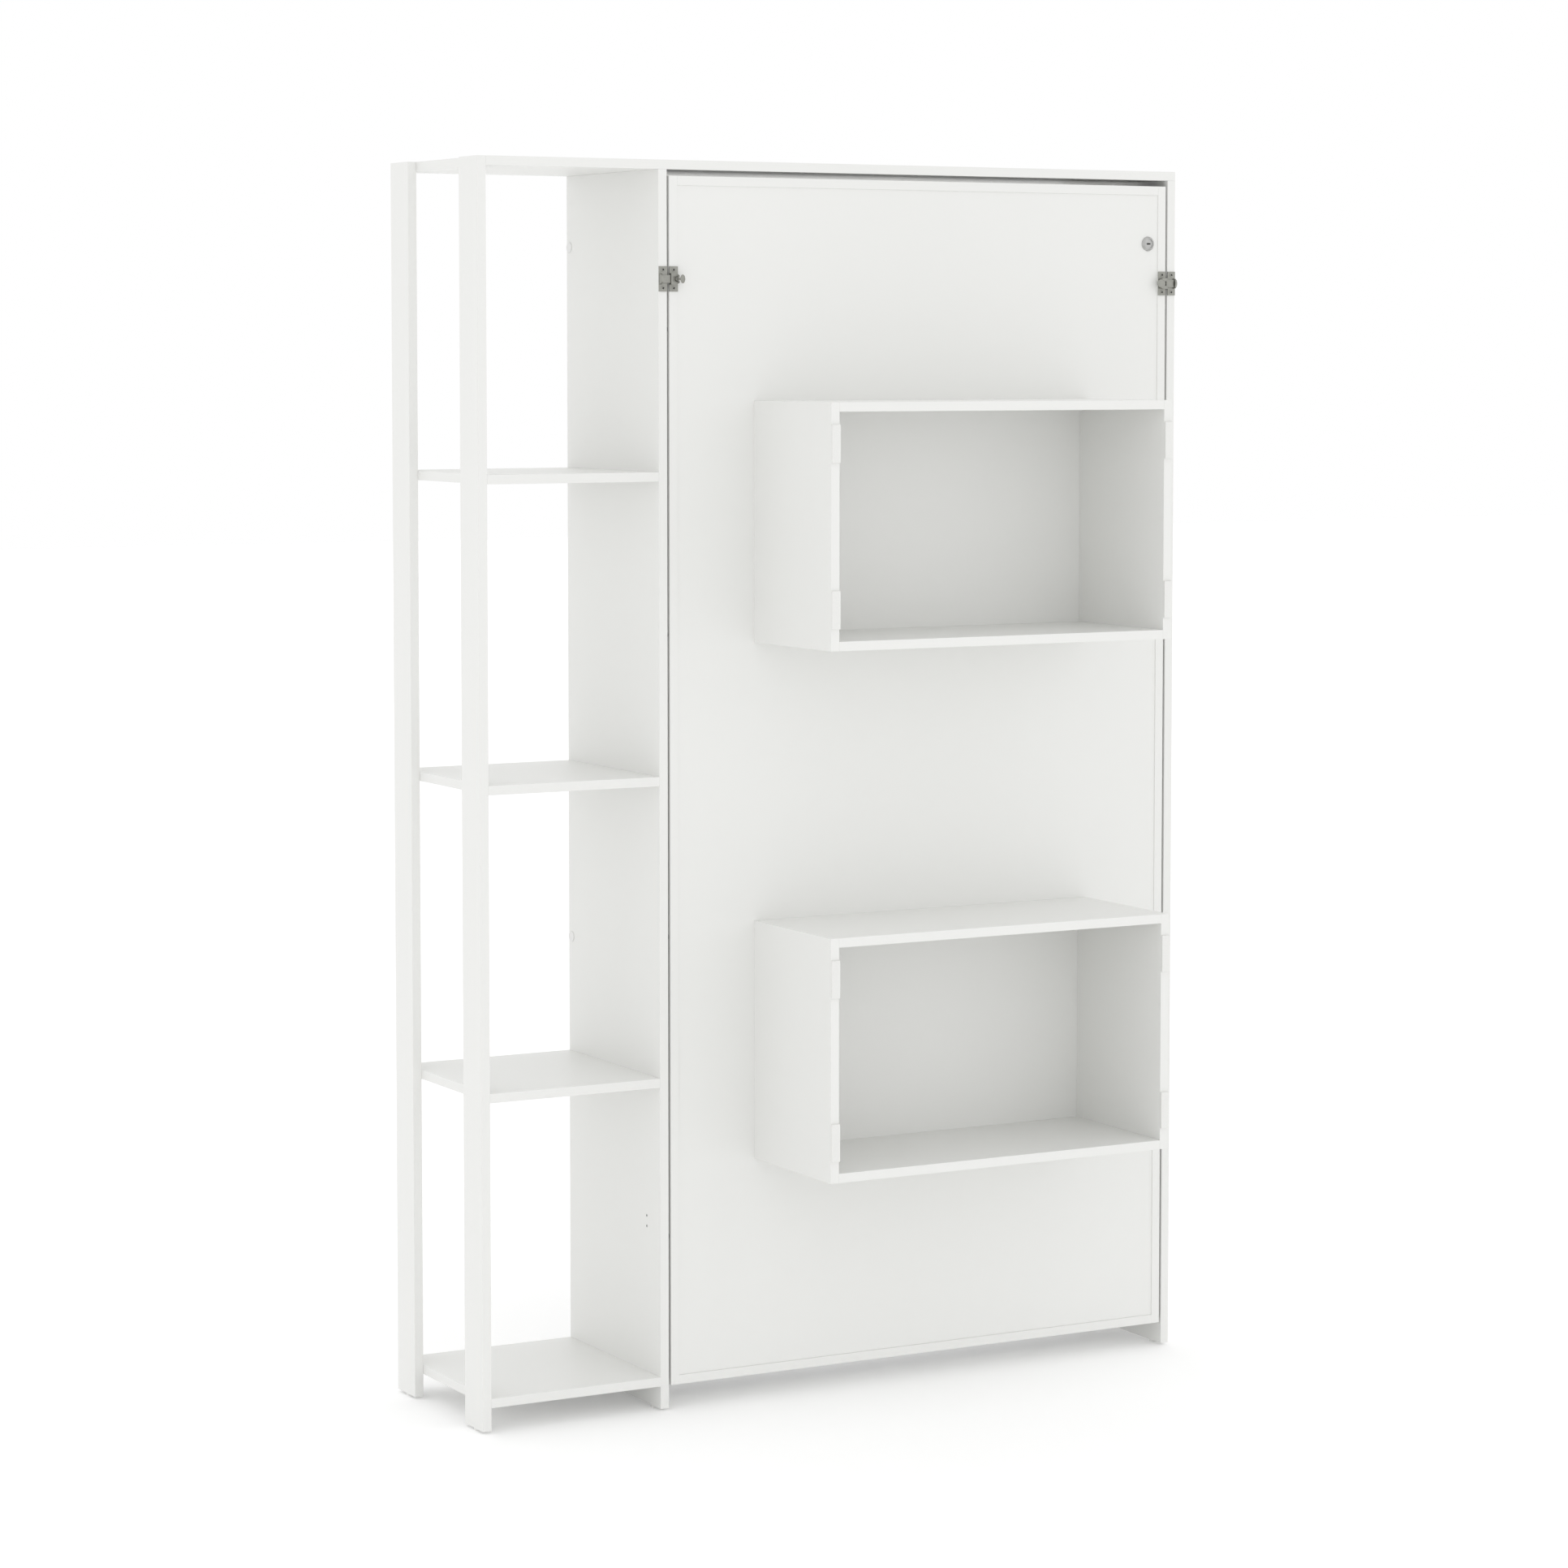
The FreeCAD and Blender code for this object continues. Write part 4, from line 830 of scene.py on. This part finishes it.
def lay_webbing(name, path, width, angle):
    """A piece of webbing, its width upright, along points (x, y, z) that bend only in plan."""
    section = strap_section(width)
    rings = []
    for number, point in enumerate(path):
        before, after = path[max(0, number - 1)], path[min(len(path) - 1, number + 1)]
        along = Vector((after[0] - before[0], after[1] - before[1], 0)).normalized()
        out = Vector((-along.y, along.x, 0))
        centre = Vector(point)
        rings.append([centre + Vector((0, 0, 1)) * wide + out * thick for wide, thick in section])
    bm = bmesh.new()
    made = skin(bm, rings)
    bm.faces.new(made[0])
    bm.faces.new(reversed(made[-1]))
    bmesh.ops.recalc_face_normals(bm, faces=bm.faces)
    return smooth(new_piece(name, bm, FINISHES["webbing"], BED), angle)


def make_strap(index, height):
    """A strap round the mattress's sides and rear face, rising to the buckle in the middle."""
    low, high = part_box("mattress_straps")
    y_buckle = high.y - STRAP_THICK / 2 - BUCKLE_ROOM
    y_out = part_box("mattress")[1].y + STRAP_THICK / 2 - STRAP_SINK
    y_bend = y_out - STRAP_CORNER
    centre = (low.x + high.x) / 2
    left, right = inside(low.x, high.x, STRAP_THICK / 2)
    rise, cross_steps = 8, 60
    path = [(left, low.y + (y_bend - low.y) * part / rise) for part in range(rise)]
    path += arc((left + STRAP_CORNER, y_bend), STRAP_CORNER, 180, 90)
    run = right - left - 2 * STRAP_CORNER
    for part in range(1, cross_steps):
        x = left + STRAP_CORNER + run * part / cross_steps
        lift = math.exp(-(((x - centre) / BUCKLE_LIFT) ** 4))
        path.append((x, y_out + (y_buckle - y_out) * lift))
    path += arc((right - STRAP_CORNER, y_bend), STRAP_CORNER, 90, 0)
    path += [(right, y_bend - (y_bend - low.y) * part / rise) for part in range(1, rise + 1)]
    path = [(x, y, height) for x, y in path]
    return lay_webbing(f"mattress_strap_{index}", path, STRAP_WIDTH, 50)


def rounded_outline(corners, radius, steps=4):
    """A polygon (x, y) with each corner replaced by a curve that starts radius away from it."""
    points = []
    for index, corner in enumerate(corners):
        here = Vector(corner)
        back = Vector(corners[index - 1]) - here
        on = Vector(corners[(index + 1) % len(corners)]) - here
        start = here + back.normalized() * min(radius, back.length * 0.45)
        end = here + on.normalized() * min(radius, on.length * 0.45)
        for step in range(steps + 1):
            share = step / steps
            pull = here * 2 * share * (1 - share)
            points.append(start * (1 - share) ** 2 + pull + end * share ** 2)
    return points


def add_plate(bm, outline, holes, low, high):
    """A flat moulding between two heights, from an outline and its holes, in (x, y)."""
    edges = []
    for points in (outline, *holes):
        loop = [bm.verts.new((x, y, low)) for x, y in points]
        for index, vertex in enumerate(loop):
            edges.append(bm.edges.new((vertex, loop[(index + 1) % len(loop)])))
    faces = bmesh.ops.triangle_fill(bm, use_beauty=True, edges=edges)["geom"]
    faces = [item for item in faces if isinstance(item, bmesh.types.BMFace)]
    lifted = bmesh.ops.extrude_face_region(bm, geom=faces)["geom"]
    top = [item for item in lifted if isinstance(item, bmesh.types.BMVert)]
    bmesh.ops.translate(bm, vec=(0, 0, high - low), verts=top)


def slot_outline(left, right, half):
    """An upright slot between two places, with rounded corners, from millimetres."""
    corners = [(left, -half), (right, -half), (right, half), (left, half)]
    return rounded_outline([(x * MM, y * MM) for x, y in corners], 1.0 * MM, 3)


def mirrored_outline(upper, radius):
    """An outline from its upper half, listed from left to right, in millimetres."""
    corners = [(x * MM, y * MM) for x, y in upper]
    corners += [(x, -y) for x, y in reversed(corners)]
    return rounded_outline(list(reversed(corners)), radius * MM)


def make_buckle(index, height):
    """A side-release buckle: a socket with ribs, and a plug with two sprung arms and a ladder bar."""
    low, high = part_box("strap_buckles")
    thick = high.y - low.y
    bm = bmesh.new()
    loop = [slot_outline(-23.5, -19.5, 17)]
    ladder = [slot_outline(14, 17.5, 17), slot_outline(20.5, 24, 17)]
    add_plate(bm, mirrored_outline(SOCKET, 2.2), loop, 0.4 * MM, thick - 0.3 * MM)
    add_plate(bm, mirrored_outline(PLUG, 2.2), ladder, 0.8 * MM, thick - PLUG_TOP)
    for side in (1, -1):
        arm = [(x * MM, side * y * MM) for x, y in ARM]
        add_plate(bm, rounded_outline(arm, 1.5 * MM), [], 1.6 * MM, thick - 1.8 * MM)
    for rib in range(4):
        ridge = slot_outline(-16.5 + 2.2 * rib, -15.3 + 2.2 * rib, 9 - rib)
        add_plate(bm, ridge, [], thick - 0.4 * MM, thick)
    lay_flat = Matrix(((1, 0, 0), (0, 0, 1), (0, 1, 0))).to_4x4()
    place = Matrix.Translation(((low.x + high.x) / 2, low.y, height)) @ lay_flat
    bmesh.ops.transform(bm, matrix=place, verts=bm.verts)
    bmesh.ops.recalc_face_normals(bm, faces=bm.faces)
    buckle = new_piece(f"strap_buckle_{index}", bm, FINISHES["buckle"], BED)
    soften(buckle, 0.7 * MM, segments=3, angle=50)
    return smooth(buckle, 35)


def make_tail(index, height):
    """The strap's free end: out through the plug's ladder, over its bar, and along the strap."""
    low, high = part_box("strap_buckles")
    half = STRAP_THICK / 2
    bar = (low.x + high.x) / 2 + PLUG_BAR
    over = high.y - PLUG_TOP + half + BUCKLE_ROOM
    strap_top = low.y + half + 0.15 * MM
    path = [(bar - 3.2 * MM, low.y + 1.4 * MM)]
    for along, down in ((-3.0, 2.2), (-1.6, 0.3), (0.0, 0.0), (1.6, 0.3), (3.0, 2.2), (3.6, 4.4)):
        path.append((bar + along * MM, over - down * MM))
    start = bar + 6.0 * MM
    path.append((start, strap_top + 1.4 * MM))
    steps = 21
    for step in range(1, steps + 1):
        share = step / steps
        wave = TAIL_WAVE * math.sin(share * 7.0) ** 2 * (0.3 + share)
        path.append((start + TAIL_LENGTH * share, strap_top + wave))
    path = [(x, y, height + (x - bar) * TAIL_SKEW) for x, y in path]
    lay_webbing(f"strap_tail_{index}", path, STRAP_WIDTH - TAIL_NARROWER, 60)


def make_straps():
    """The two straps, each with its buckle and its free end."""
    low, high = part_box("mattress_straps")
    straps, buckles = [], []
    for index, height in enumerate(inside(low.z, high.z, STRAP_WIDTH / 2), start=1):
        straps.append(make_strap(index, height))
        buckles.append(make_buckle(index, height))
        make_tail(index, height)
    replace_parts(straps[0], "mattress_straps")
    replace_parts(buckles[0], "strap_buckles")


# ---------------------------------------------------------------- stage
FLOOR_REACH = 30.0
LIGHT_SIZE = 3.0
LIGHT_AIM = (0, 0, 1.0)
LIGHTS = (
    ("key", (-2.2, -4.6, 2.4), 5.5),
    ("fill", (3.4, -2.6, 1.6), 1.5),
    ("back", (0.5, 4.2, 1.6), 1.5),
)


def make_stage():
    """A plain pale floor, a white surround and three large soft lights."""
    scene = bpy.context.scene
    scene.view_settings.view_transform = "Standard"
    world = bpy.data.worlds.new("surround")
    world.use_nodes = True
    background = world.node_tree.nodes["Background"]
    background.inputs["Color"].default_value = (1, 1, 1, 1)
    background.inputs["Strength"].default_value = 1.0
    scene.world = world

    mesh = bpy.data.meshes.new("floor")
    signs = ((-1, -1), (1, -1), (1, 1), (-1, 1))
    corners = [(x * FLOOR_REACH, y * FLOOR_REACH, 0) for x, y in signs]
    mesh.from_pydata(corners, [], [(0, 1, 2, 3)])
    mesh.materials.append(pale_floor())
    floor = bpy.data.objects.new("floor", mesh)
    scene.collection.objects.link(floor)

    for name, spot, power in LIGHTS:
        data = bpy.data.lights.new(name, "AREA")
        data.shape = "DISK"
        data.size = LIGHT_SIZE
        data.energy = power
        light = bpy.data.objects.new(name, data)
        light.location = spot
        aim = Vector(LIGHT_AIM) - Vector(spot)
        light.rotation_euler = aim.to_track_quat("-Z", "Y").to_euler()
        scene.collection.objects.link(light)


make_camera()
make_stage()
dress_nodes()
make_screws()
make_mattress()
make_straps()
